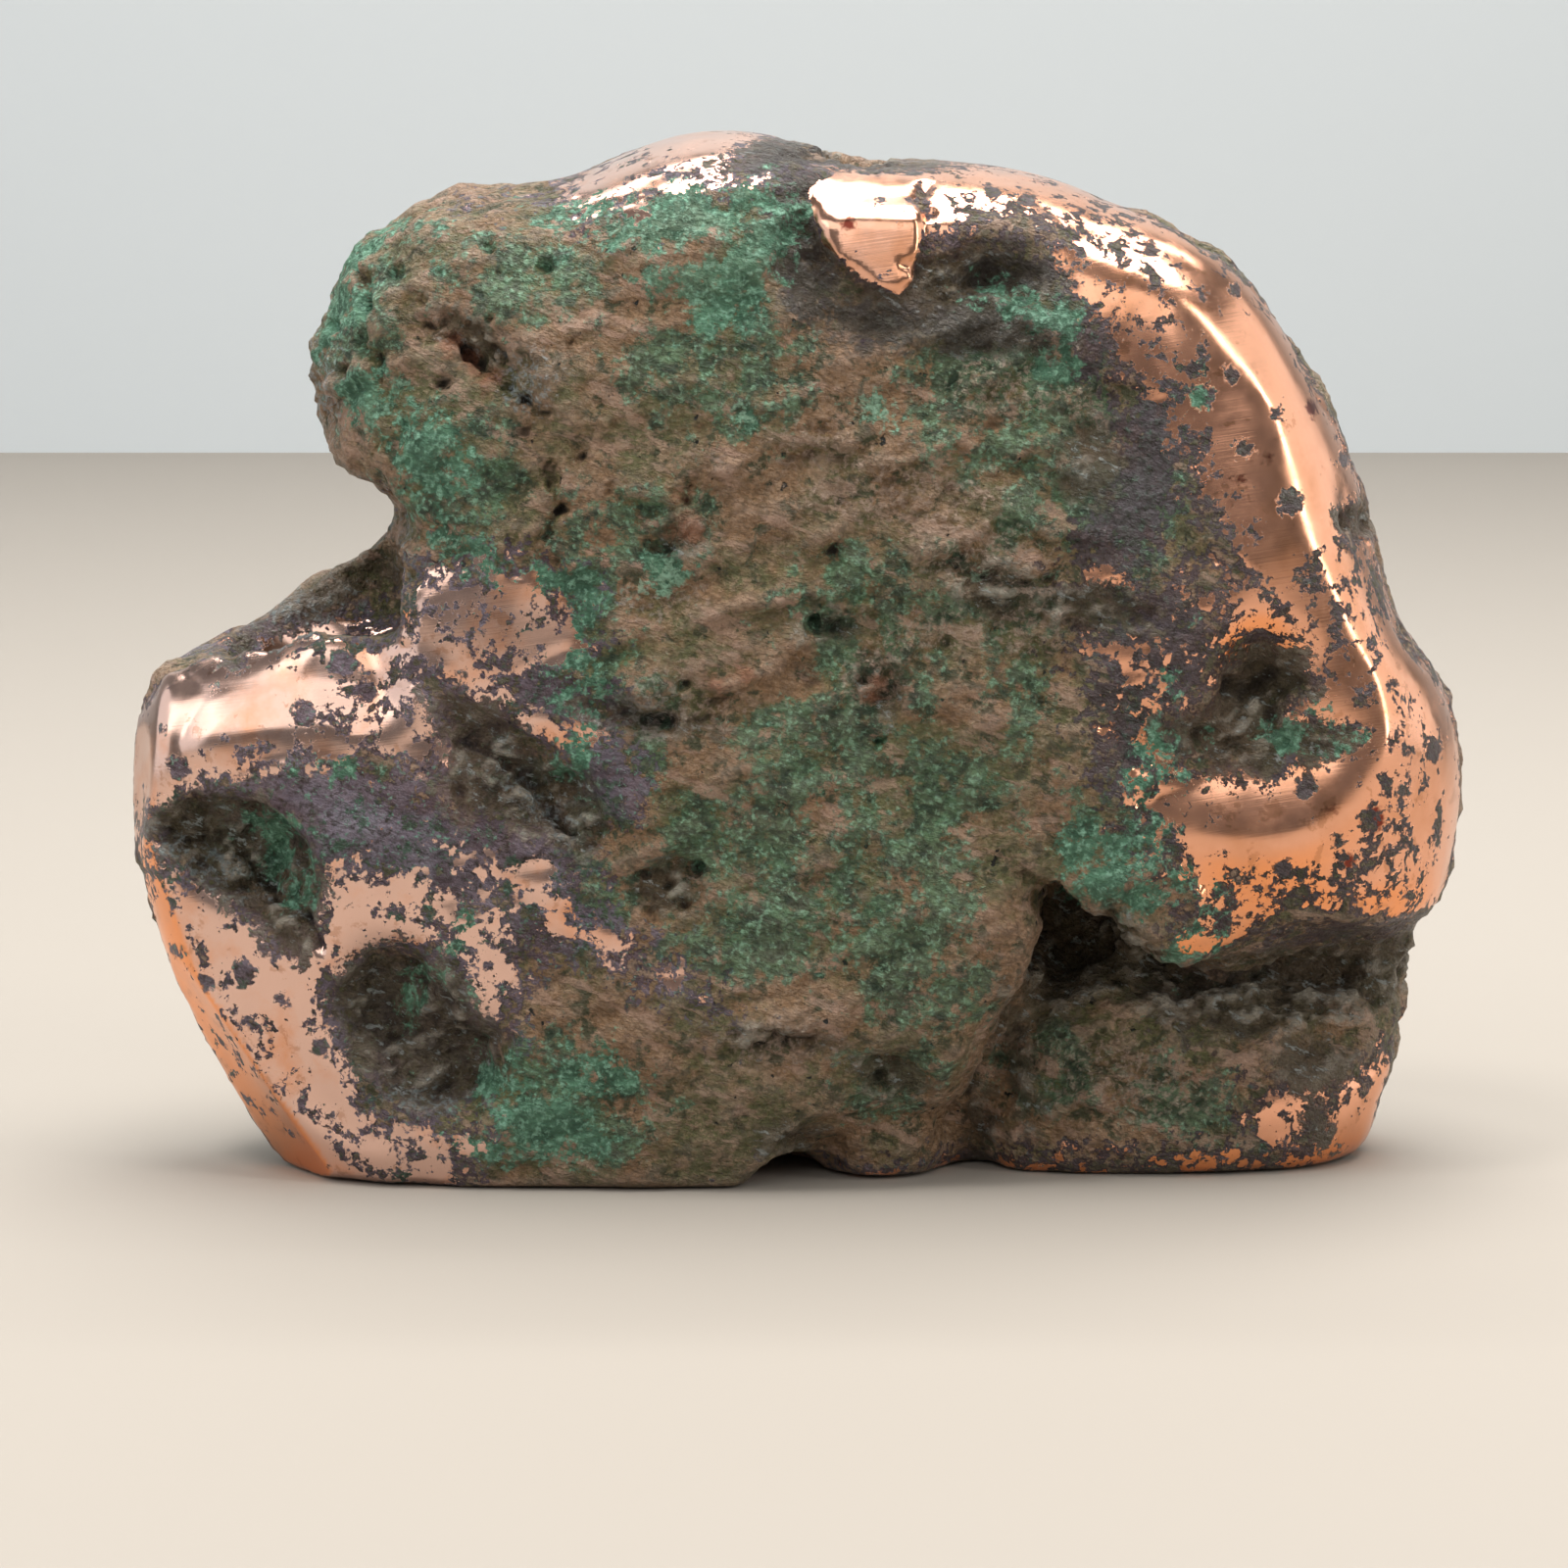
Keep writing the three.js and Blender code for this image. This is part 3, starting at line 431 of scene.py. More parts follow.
# Each cover's first colour, as it looks on a screen, and those over it: the map that places one, between
# which of its heights if it isn't a share already, how much it hides, by number or map, and the colour.
PAINT = {
    "brown": [
        (104, 104, 68),
        ("broad", -0.1, 0.1, 1, (150, 118, 88)),
        ("patch", 0.04, 0.14, 0.7, (172, 144, 118)),
        ("edge", -0.08, -0.2, 1, (76, 78, 54)),
        # painted light and shade: lighter on the tops of the fine grain, on proud places, on the tops of
        # the pebbles and on the steps, as painted highlights; darker between the pebbles, in the hollows
        # and in the pinholes, as painted shade
        ("fine", 0.0, 0.3, 0.35, (186, 156, 130)),
        ("hollow", 0.0, -0.4, 0.45, (184, 154, 134)),
        ("pebbles", 0.3, 0.1, 0.3, (192, 160, 134)),
        ("pebbles", 0.45, 0.7, 0.3, (62, 54, 38)),
        ("shelf", 0.1, 0.2, 0.5, (184, 150, 132)),
        ("hollow", 0.25, 0.9, 1, (44, 38, 30)),
        ("pinholes", 1, (22, 26, 22)),
    ],
    "green": [
        (48, 72, 54),
        ("edge", -0.2, 0.2, 1, (90, 132, 98)),
        ("fine", 0.05, 0.3, 1, (128, 178, 148)),
        # darker between the pebbles: painted shade
        ("pebbles", 0.45, 0.7, 0.5, (34, 52, 44)),
    ],
    "dark": [
        (66, 56, 44),
        ("edge", -0.2, 0.2, 1, (108, 98, 80)),
        # darker in the hollows: painted shade
        ("hollow", 0.3, 1.2, 1, (42, 37, 32)),
        ("hollow", -0.05, -0.5, 1, (166, 160, 146)),
        # sparks: painted glints on the dark ground
        ("sparks", 0.8, (184, 192, 190)),
    ],
    "charcoal": [(66, 61, 55), ("fine", 0.05, 0.4, 1, (98, 93, 85))],
    # painted glints: a cold, bluish painted reflection on the left, warmer to the right
    "glints": [(166, 178, 180), ("across", -0.03, -0.01, 1, (186, 164, 148))],
    "film": [
        (84, 70, 82),
        ("bloom", -0.2, 0.2, 1, (116, 106, 120)),
        # darker to the right: painted shade
        ("to the right", 0.7, (58, 48, 50)),
        ("speck", 0.0, -0.3, 1, (42, 33, 36)),
        ("patch", 0.1, 0.2, "to the left", (62, 84, 72)),
        ("fine", 0.18, 0.34, "to the left", (96, 132, 118)),
    ],
    "bright": [
        (60, 100, 78),
        ("edge", -0.2, 0.2, 1, (96, 146, 118)),
        ("fine", 0.0, 0.3, 1, (138, 188, 162)),
    ],
    "mint": [(142, 176, 150)],
    "raw": [(176, 116, 88)],
    "bare": [
        (226, 188, 172),
        # redder where the copper faces down and on the lower left bevel: a painted reflection of a warm
        # floor
        ("floor_reflection", 1, (248, 164, 112)),
        ("tarnish", 0.0, 0.4, 1, (222, 158, 122)),
        ("stain", 0.18, 0.24, 0.4, (170, 114, 76)),
        ("cuprite", 1, (120, 62, 52)),
    ],
}

# ---- The studio's sizes ----

MIDDLE = (0, 0, 0.06)

# Softboxes: place, what they face, width and height, power, tint.
SOFTBOXES = [
    ("overhead", (0.12, 0.08, 1.0), MIDDLE, (0.8, 0.76), 15, (1, 0.98, 0.95)),
    ("ceiling", (-0.3, -0.85, 0.75), MIDDLE, (2.0, 0.66), 5.6, (1, 0.97, 0.93)),
    ("left_wall", (-1.3, -0.1, 0.5), MIDDLE, (1.8, 1.3), 6.5, (0.92, 0.96, 1)),
    ("right_wall", (1.3, 0.1, 0.4), MIDDLE, (1.8, 1.1), 6.5, (1, 0.97, 0.93)),
    ("window", (0.92, -0.5, 0.5), MIDDLE, (0.08, 1.0), 2.4, (1, 0.97, 0.92)),
    ("rake", (-0.3, -0.26, 0.9), MIDDLE, (0.16, 0.16), 2.8, (1, 0.98, 0.95)),
    ("wash", (0, 0.9, 1.5), (0, 1.6, 0.2), (2.0, 0.3), 20, (1, 0.98, 0.95)),
]

# The sheets that the nugget stands on and before: corners, colour.
STAGE = {
    "floor": ([(-3, -3, 0), (3, -3, 0), (3, 1.6, 0), (-3, 1.6, 0)], (0.36, 0.325, 0.285, 1)),
    "backdrop": ([(-3, 1.6, 0), (3, 1.6, 0), (3, 1.6, 3), (-3, 1.6, 3)], (0.62, 0.66, 0.68, 1)),
}

SKY = (0.78, 0.8, 0.82, 1)
SKY_STRENGTH = 0.22

CAMERA_PLACE = (-0.0019, -0.4992, 0.105)
CAMERA_TILT = 7.16  # degrees down
CAMERA_LENS = 101.25
CAMERA_SENSOR = 36

# ---- Small tools ----


def smoothstep(low, high, value):
    share = np.clip((value - low) / (high - low), 0, 1)
    return share * share * (3 - 2 * share)


def rough(points, width, octaves=3, offset=0.0):
    """Soft random heights, about -1 to 1, the same in every run; the width may differ along the axes."""
    scaled = points / np.array(width, float) + offset
    return np.array([noise.fractal(place, 0.9, 2.1, octaves) for place in scaled.tolist()])


def ragged(points):
    """How far the edges of dents and ledges are shifted here and there, about -1 to 1."""
    return rough(points, 3.4, 3, 30.2)


def terraces(points, width, offset):
    """Random heights, -1 to 1, in steps as broken rock has."""
    level = 5 * rough(points, width, 3, offset)
    step = np.floor(level)
    return (step + smoothstep(0.55, 1, level - step)) / 5


def tilted(points, angle):
    """The front view's two directions turned by an angle, left side up."""
    turn = math.radians(angle)
    across = points[:, 0] * math.cos(turn) - points[:, 2] * math.sin(turn)
    up = points[:, 0] * math.sin(turn) + points[:, 2] * math.cos(turn)
    return across, up


def oval_radius(points, oval):
    """How far each point is from an oval's middle, as a share of the way to its edge."""
    x, z, half_width, half_height, tilt = oval
    across, up = tilted(points - (x, 0, z), tilt)
    return np.hypot(across / half_width, up / half_height)


def in_oval(points, oval):
    """Roughly how many millimetres inside an oval each point is; negative outside, and faster there."""
    radius = oval_radius(points, oval[:5])
    return (1 - radius) * min(oval[2:4]) * np.where(radius > 1, 1.6, 1)


def in_ovals(points, ovals):
    return np.max([in_oval(points, oval) for oval in ovals], axis=0)


def in_discs(points, discs):
    inside = [radius - np.hypot(points[:, 0] - x, points[:, 2] - z) for x, z, radius in discs]
    return np.max(inside, axis=0)


def in_outline(points, outline):
    """How many millimetres inside a closed outline each point is; negative outside."""
    places = points[:, [0, 2]]
    corners = np.array(outline, float)
    nearest = np.full(len(places), np.inf)
    inside = np.zeros(len(places), bool)
    for start, end in zip(corners, np.roll(corners, -1, axis=0)):
        nearest = np.minimum(nearest, distance_to_segment(places, start, end))
        crosses = (start[1] > places[:, 1]) != (end[1] > places[:, 1])
        slope = (end[0] - start[0]) / (end[1] - start[1] or TINY)
        inside ^= crosses & (places[:, 0] < start[0] + slope * (places[:, 1] - start[1]))
    return np.where(inside, nearest, -nearest)


def in_outlines(points, outlines):
    return np.max([in_outline(points, outline) for outline in outlines], axis=0)


def in_deep_dents(points):
    return in_outlines(points, [outline for outline, _ in DEEP_DENTS])


def share_along(places, start, end):
    """How far along a segment its nearest place to each point lies, from 0 to 1."""
    along = end - start
    return np.clip((places - start) @ along / max(along @ along, TINY), 0, 1)


def distance_to_segment(places, start, end):
    return np.hypot(*(places - start - share_along(places, start, end)[:, None] * (end - start)).T)


def distance_to_line(points, line):
    places = points[:, [0, 2]]
    corners = np.array(line, float)
    return np.min([distance_to_segment(places, a, b) for a, b in zip(corners, corners[1:])], axis=0)


def sided_distance(points, line):
    """The distance to a line of places, and 1 on its left side, -1 on its right."""
    places = points[:, [0, 2]]
    nearest = np.full(len(places), np.inf)
    side = np.ones(len(places))
    for start, end in zip(np.array(line, float), np.array(line[1:], float)):
        distance = distance_to_segment(places, start, end)
        along = end - start
        away = places - start
        left = np.sign(along[0] * away[:, 1] - along[1] * away[:, 0])
        side = np.where(distance < nearest, left, side)
        nearest = np.minimum(nearest, distance)
    return nearest, side


def carried_by_line(points, line):
    """The distance to a line of places, and the numbers that the line carries at its nearest place."""
    places = points[:, [0, 2]]
    nearest = np.full(len(places), np.inf)
    carried = np.zeros((len(places), line.shape[1] - 2))
    for start, end in zip(line, line[1:]):
        share = share_along(places, start[:2], end[:2])[:, None]
        distance = np.hypot(*(places - start[:2] - share * (end - start)[:2]).T)
        carried = np.where((distance < nearest)[:, None], start[2:] + share * (end - start)[2:], carried)
        nearest = np.minimum(nearest, distance)
    return nearest, carried.T


def with_cut_corners(line, rounds=2):
    """A line with each of its corners cut off, that many times."""
    line = np.array(line, float)
    for _ in range(rounds):
        pairs = np.stack([line[:-1] * 0.75 + line[1:] * 0.25, line[:-1] * 0.25 + line[1:] * 0.75], axis=1)
        line = np.vstack([line[:1], pairs.reshape(-1, line.shape[1]), line[-1:]])
    return line


# ---- The mesh ----


def places_of(mesh):
    flat = np.empty(len(mesh.vertices) * 3)
    mesh.vertices.foreach_get("co", flat)
    return flat.reshape(-1, 3) / MM


def set_places(mesh, points):
    mesh.vertices.foreach_set("co", (points * MM).ravel())
    mesh.update()


def directions_of(mesh):
    flat = np.empty(len(mesh.vertices) * 3, np.float32)
    mesh.vertex_normals.foreach_get("vector", flat)
    return flat.reshape(-1, 3).astype(float)


def edges_of(mesh):
    flat = np.empty(len(mesh.edges) * 2, np.int32)
    mesh.edges.foreach_get("vertices", flat)
    return flat.reshape(-1, 2)


def smoothed(values, edges, rounds):
    """Each vertex's values drawn halfway to the mean of its neighbours', that many times."""
    values = values.copy()
    first, second = edges.T
    size = len(values)
    count = np.bincount(edges.ravel(), minlength=size)
    columns = values.reshape(size, -1)
    for _ in range(rounds):
        for column in columns.T:
            total = np.bincount(first, column[second], size) + np.bincount(second, column[first], size)
            column += (total / count - column) / 2
    return values


def remeshed(source):
    """A copy of a CAD node with an even, fine mesh."""
    piece = source.copy()
    piece.data = source.data.copy()
    bpy.context.scene.collection.objects.link(piece)
    remesh = piece.modifiers.new("remesh", "REMESH")
    remesh.mode = "VOXEL"
    remesh.voxel_size = VOXEL * MM
    depsgraph = bpy.context.evaluated_depsgraph_get()
    mesh = bpy.data.meshes.new_from_object(piece.evaluated_get(depsgraph))
    piece.modifiers.clear()
    piece.data = mesh
    piece.name = mesh.name = "native_copper"
    return piece


def refine_front(mesh):
    """Splits each face of the front, above the foot's flat, into four."""
    built = bmesh.new()
    built.from_mesh(mesh)
    faces = [face for face in built.faces if face.normal.y < FRONT_FACING]
    front = [face for face in faces if face.calc_center_median().z > FOOT_EDGE * MM]
    edges = list({edge for face in front for edge in face.edges})
    bmesh.ops.subdivide_edges(built, edges=edges, cuts=1, use_grid_fill=True)
    built.to_mesh(mesh)
    built.free()


def smooth_shape(mesh):
    """Takes the CAD solid's facets away, and its crispness where the metal was ground."""
    edges = edges_of(mesh)
    rough_shape = smoothed(places_of(mesh), edges, ROUGH_ROUNDS)
    soft_shape = smoothed(rough_shape, edges, SOFT_ROUNDS - ROUGH_ROUNDS)
    set_places(mesh, rough_shape)
    covers = cover_maps(rough_shape, directions_of(mesh))
    softness = smoothstep(-4, 0, covers["bare"])[:, None]
    set_places(mesh, rough_shape + (soft_shape - rough_shape) * softness)


def with_bowls(points, directions, edges):
    """Smooths the deep dents into bowls, and the right half of the gap under the cheek nearly away."""
    in_bowl = smoothstep(-1, 1, in_deep_dents(points)) * (directions[:, 1] < 0.3)
    bowls = smoothed(points, edges, BOWL_ROUNDS)
    points = points + (bowls - points) * in_bowl[:, None]
    in_gap = smoothstep(-2, 2, in_outline(points, FILLED_GAP)) * (points[:, 1] < 4)
    filled = smoothed(bowls, edges, FILLING_ROUNDS - BOWL_ROUNDS)
    return points + (filled - points) * in_gap[:, None]


def ground(points):
    """Presses the ground flats in, with crisp ridges between them."""
    for place, faces, (across, up) in FLATS:
        facing = np.array(faces) / np.linalg.norm(faces)
        away = points - place
        proud = np.maximum(away @ facing, 0)
        along = np.hypot(away[:, 0] / across, away[:, 2] / up)
        points = points - facing * (proud * (1 - smoothstep(0.8, 1.25, along)))[:, None]
    return points


def even_ridge(places, *section):
    return [(*place, *section) for place in places]


def facets(points, directions):
    """The ridges and swells of the front, in millimetres."""
    height = np.zeros(len(points))
    for line in RIDGES + [even_ridge(*ridge) for ridge in EVEN_RIDGES]:
        distance, (stand, breadth, crest) = carried_by_line(points, with_cut_corners(line))
        away = np.hypot(distance, crest) - crest
        height = np.maximum(height, stand * np.clip(1 - away / breadth, 0, 1) ** 2)
    for *oval, stand in SWELLS:
        height += stand * smoothstep(1.1, 0, oval_radius(points, oval))
    return height * smoothstep(0.1, -0.3, directions[:, 1])


# ---- What covers the metal ----


def in_dents(points):
    """How many millimetres inside a dent each point is."""
    shift = ragged(points)
    return np.maximum(in_deep_dents(points) + 0.9 * shift, in_ovals(points, DENTS) + 1.5 * shift)


def polished_map(points, dents, on_tongue):
    """How many millimetres inside the bare copper each point is, seen from the front."""
    bare = np.maximum(in_outlines(points, POLISHED.values()), in_ovals(points, POLISHED_SCRAPS))
    for *oval, clearness in SPECKLED:
        bare = np.minimum(bare, clearness + np.maximum(-in_oval(points, oval), 0))
    bare = np.minimum(bare, -1.2 * dents - 0.4)
    bare = np.maximum(bare, 8 * on_tongue - 1.5)
    for crease in CREASES:
        bare = np.minimum(bare, 6 * distance_to_line(points, crease) - 4)
    return bare


def bare_map(points, directions, polished):
    """The same all round: grinding took the face and its bevels, and elsewhere only high places."""
    on_top = smoothstep(104, 109, points[:, 2]) * smoothstep(-30, -26, points[:, 0])
    ground_here = smoothstep(-0.12 + 0.2 * on_top, -0.42 + 0.4 * on_top, directions[:, 1])
    rim_kept = np.maximum(in_outline(points, HEAD_AND_NOTCH), in_outline(points, UNDER_CHEEK))
    elsewhere = np.minimum(9 * rough(points, 14, 3, 7.7) - 3.4, -rim_kept)
    bare = ground_here * polished + (1 - ground_here) * elsewhere
    # it didn't reach the underside of the cheek
    under = smoothstep(-0.35, -0.65, directions[:, 2]) * smoothstep(30, 38, points[:, 0])
    return np.minimum(bare, FAR - 12 * under * (points[:, 2] > 12))


def cover_maps(points, directions):
    """How many millimetres inside each kind of cover a point is, negative outside."""
    facing_front = smoothstep(0.25, -0.15, directions[:, 1])

    def with_scatter(on_front, spread, size, offset, shift):
        """A front map that goes over into a random one round the back."""
        scatter = size * rough(points, spread, 3, offset) + shift
        return facing_front * on_front + (1 - facing_front) * scatter

    def front_only(on_front):
        return facing_front * on_front - (1 - facing_front) * FAR

    dents = np.minimum(in_dents(points), FAR)
    on_tongue = in_outline(points, POLISHED["tongue"]) - FAR * (directions[:, 1] > 0)
    bare = bare_map(points, directions, polished_map(points, dents, on_tongue))
    dark = with_scatter(np.maximum(in_ovals(points, DARK), dents + 0.2), 8, 8, 21.3, -2)
    return {
        "bare": bare,
        "oxide": np.maximum(front_only(in_ovals(points, OXIDE)), bare + FILM_RIM),
        "bright": with_scatter(np.minimum(in_ovals(points, MALACHITE), 3), 9, 9, 3.1, -3.4),
        "green": with_scatter(np.minimum(in_ovals(points, VERDIGRIS), 1.6), 9, 9, 3.1, -0.6),
        "dark": np.minimum(dark, 1 - 8 * on_tongue),
        "frost": with_scatter(in_ovals(points, FROST), 7, 9, 41.3, -4),
        "charcoal": front_only(in_ovals(points, CHARCOAL)),
    }


def painted_floor_reflection(points, directions):
    """How red the copper is, as a painted reflection of a warm floor: most on the lower left bevel, and to
    the right where it faces down.
    """
    on_bevel = smoothstep(0.86, 0.95, directions @ np.array(BEVEL_FACES))
    to_right = smoothstep(-30, 30, points[:, 0])
    facing_down = smoothstep(-0.1, -0.35, directions[:, 2])
    return np.maximum(on_bevel, to_right * (0.55 + 0.45 * facing_down))


# ---- The relief ----


def coarseness(points, directions, covers):
    """How coarse the metal is where it wasn't ground, from 0 to 1."""
    shares = {
        "head": smoothstep(-6, 4, in_outline(points, HEAD_AND_NOTCH)),
        "under the cheek": smoothstep(-3, 3, in_outline(points, UNDER_CHEEK)),
        "edge": smoothstep(-0.45, -0.15, directions[:, 1]),
        "frost": smoothstep(-1.5, 1, covers["frost"]),
        "dark ground": smoothstep(-0.6, 1.2, covers["dark"]),
    }
    return np.max([COARSENESS[name] * share for name, share in shares.items()], axis=0)


def rough_ground(points, directions, covers, unground, front):
    """The bumps, crags, chips and steps of metal that wasn't ground, in millimetres."""
    frosted = smoothstep(-1.5, 1, covers["frost"])
    coarse = coarseness(points, directions, covers)
    across, up = tilted(points, RUN)
    run = np.stack([across, points[:, 1], up], axis=1)
    height = np.zeros(len(points))
    for plain, in_frost, where_coarse, width, octaves, offset in BUMPS:
        stand = plain + in_frost * frosted + where_coarse * coarse
        height += unground * stand * rough(run, width, octaves, offset)

    crags = np.abs(rough(points, 4.6, 3, 2.4)) * 2 - 0.6
    height += unground * coarse * CRAG_HEIGHT * crags
    shaken = points / CHIP_WIDTH + rough(points, 2, 2)[:, None]
    chips = np.array([noise.cell_vector(place)[0] for place in shaken.tolist()])
    height += unground * coarse * CHIP_HEIGHT * (chips - 0.5)

    shares = {
        "coarse": unground * coarse,
        "in a dent": smoothstep(0, 1.5, in_dents(points)) * front,
        "elsewhere": unground * (1 - coarse),
    }
    for name, (stand, width, offset) in STEPS.items():
        height += shares[name] * stand * terraces(run, width, offset)
    return height


def cuts(points, shift):
    """How deep the dents, pits and creases of the front are, in millimetres."""
    uneven = 0.4 * rough(points, 2.6, 3, 17.5)
    depth = np.zeros(len(points))
    for outline, drop in DEEP_DENTS:
        depth += smoothstep(-0.3, 0.8, in_outline(points, outline) + 2 * shift) * (drop + uneven)
    for *oval, drop in DENTS:
        depth += smoothstep(1.15, 0.8, oval_radius(points, oval) + shift) * (drop + uneven)
    for x, z, radius, drop in PITS:
        reach = np.hypot(points[:, 0] - x, points[:, 2] - z) / radius + 1.6 * shift
        depth += smoothstep(1.2, 0.3, reach) * drop
    for crease in CREASES:
        depth += smoothstep(0.8, 0.1, distance_to_line(points, crease) + 2 * shift) * CREASE_DEPTH
    return depth


def ledge_heights(points, shift):
    height = np.zeros(len(points))
    for line, stand, fade in LEDGES:
        distance, side = sided_distance(points, line)
        edge = side * distance + 4 * shift
        height += stand * smoothstep(-0.25, 0.35, edge) * np.clip(1 - distance / fade, 0, 1)
    return height


def relief(points, directions, covers):
    """How far each point stands out, in millimetres."""
    ground_smooth = smoothstep(-1.6, 0.2, covers["bare"])
    film_smooth = smoothstep(-2, 2, covers["oxide"]) * FILM_SMOOTHNESS
    unground = 1 - np.maximum(ground_smooth, film_smooth)
    front = directions[:, 1] < 0.1
    shift = 0.45 * ragged(points)
    height = rough_ground(points, directions, covers, unground, front)
    height -= cuts(points, shift) * front
    height += LEDGE_SCALE * ledge_heights(points, shift) * front * (1 - 0.9 * ground_smooth)
    # the tongue's upper end runs into the top of the nugget without a step
    tongue = in_outline(points, POLISHED["tongue"]) + 1.2 * shift
    height += smoothstep(-0.2, 0.5, tongue) * smoothstep(109, 105, points[:, 2]) * TONGUE_RISE * front
    # the foot stays flat
    return height * smoothstep(0.2, 2.2, points[:, 2])


def sculpt(mesh):
    """Shapes the mesh and stores on it what covers the metal where."""
    smooth_shape(mesh)
    refine_front(mesh)
    edges = edges_of(mesh)
    points = smoothed(places_of(mesh), edges, LAST_ROUNDS)
    points = ground(with_bowls(points, directions_of(mesh), edges))
    set_places(mesh, points)
    directions = directions_of(mesh)
    points = points + directions * facets(points, directions)[:, None]
    set_places(mesh, points)
    directions = directions_of(mesh)
    covers = cover_maps(points, directions)
    shaped = points + directions * relief(points, directions, covers)[:, None]
    shaped[:, 2] = np.maximum(shaped[:, 2], 0)
    set_places(mesh, shaped)

    # how deep each point lies below the broad shape: the paint darkens the hollows with it, as painted
    # shade, and lightens proud places
    broad_shape = smoothed(shaped, edges, BROAD_ROUNDS)
    covers["hollow"] = ((broad_shape - shaped) * directions).sum(1)
    for name, discs in SPOTS.items():
        covers[name] = in_discs(points, discs) - 4 * (directions[:, 1] > 0)
    # how red the copper is painted, as a reflection of a warm floor
    covers["floor_reflection"] = painted_floor_reflection(points, directions)
    for name, values in covers.items():
        layer = mesh.attributes.new(name, "FLOAT", "POINT")
        layer.data.foreach_set("value", np.clip(values, -FAR, FAR).astype(np.float32))
    mesh.polygons.foreach_set("use_smooth", np.ones(len(mesh.polygons), bool))


# ---- The material ----


class Nodes:
    """Short ways to add and link shader nodes. A number or a socket may stand for any input."""

    def __init__(self, name):
        self.material = bpy.data.materials.new(name)
        self.material.use_nodes = True
        self.tree = self.material.node_tree
        self.shader = self.tree.nodes["Principled BSDF"]
        self.place = self.add("TexCoord").outputs["Object"]

    def add(self, kind, inputs=None, **settings):
        node = self.tree.nodes.new("ShaderNode" + kind)
        for key, value in settings.items():
            setattr(node, key, value)
        for key, value in (inputs or {}).items():
            self.feed(node.inputs[key], value)
        return node

    def feed(self, socket, value):
        if isinstance(value, bpy.types.NodeSocket):
            self.tree.links.new(value, socket)
        else:
            socket.default_value = value

    def math(self, operation, first, second=0.0, third=0.0):
        return self.add("Math", {0: first, 1: second, 2: third}, operation=operation).outputs[0]

    def times(self, first, second):
        return self.math("MULTIPLY", first, second)

    def rest_of(self, share):
        return self.math("SUBTRACT", 1.0, share)

    def highest(self, first, *others):
        for other in others:
            first = self.math("MAXIMUM", first, other)
        return first

    def add_up(self, total, parts):
        """A total with some textures added to it, each as high as its size says."""
        for texture, size in parts:
            total = self.math("MULTIPLY_ADD", texture, size, total)
        return total

    def map(self, value, low, high, to_low=0.0, to_high=1.0):
        inputs = {"Value": value, "From Min": low, "From Max": high, "To Min": to_low, "To Max": to_high}
        return self.add("MapRange", inputs).outputs[0]

    def blend(self, share, first, second):
        return self.add("Mix", {0: share, 2: first, 3: second}, data_type="FLOAT").outputs[0]

    def cover(self, below, above, share, strength=1):
        """One colour with another laid over a share of it."""
        if strength != 1:
            share = self.times(share, strength)
        node = self.add("Mix", data_type="RGBA")
        for index, value in ((0, share), (6, below), (7, above)):
            self.feed(node.inputs[index], value)
        return node.outputs[2]

    def attribute(self, name):
        return self.add("Attribute", attribute_name=name).outputs["Fac"]

    def stretched(self, width, turn=0.0):
        """Coordinates for a texture with grains of the given width, in millimetres along the axes."""
        scale = [1 / (each * MM) for each in width]
        inputs = {"Vector": self.place, "Rotation": (0, math.radians(turn), 0)}
        turned = self.add("Mapping", inputs).outputs[0]
        return self.add("Mapping", {"Vector": turned, "Scale": scale}).outputs[0]

    def cloud(self, width, detail, roughness, distortion=0, turn=0):
        """A cloud texture, from -1 to 1 and mostly within a third of that."""
        sizes = width if isinstance(width, tuple) else (width,) * 3
        inputs = {
            "Vector": self.stretched(sizes, turn), "Scale": 1.0, "Detail": detail, "Roughness": roughness,
            "Distortion": distortion,
        }
        shades = self.add("TexNoise", inputs).outputs["Fac"]
        return self.math("MULTIPLY_ADD", shades, 2.0, -1.0)


def colour(red, green, blue):
    """A shader colour from how it looks on a screen, 0 to 255."""
    return (*((each / 255) ** 2.2 for each in (red, green, blue)), 1.0)


def painted(nodes, maps, name):
    """A cover's colour, of the layers that PAINT gives it."""
    first, *layers = PAINT[name]
    look = colour(*first)
    for place, *limits, strength, tint in layers:
        share = nodes.map(maps[place], *limits) if limits else maps[place]
        look = nodes.cover(look, colour(*tint), share, maps.get(strength, strength))
    return look


def pebbly_grain(nodes):
    """How far each place is from the middle of its pebble."""
    inputs = {"Vector": nodes.stretched((1.6, 1.6, 1.6)), "Scale": 1.0, "Detail": 3.0}
    shaking = nodes.add("TexNoise", inputs).outputs["Color"]
    inputs = {0: shaking, 1: (1.8, 1.8, 1.8), 2: nodes.stretched((0.95, 0.8, 0.6), RUN)}
    shaken = nodes.add("VectorMath", inputs, operation="MULTIPLY_ADD").outputs[0]
    return nodes.add("TexVoronoi", {"Vector": shaken, "Scale": 1.0}).outputs["Distance"]


def small_steps(nodes, shelf):
    """Small steps that run up to the right."""
    first, *others = [nodes.map(shelf, low, high) for low, high in STEP_EDGES]
    for other in others:
        first = nodes.math("ADD", first, other)
    return first


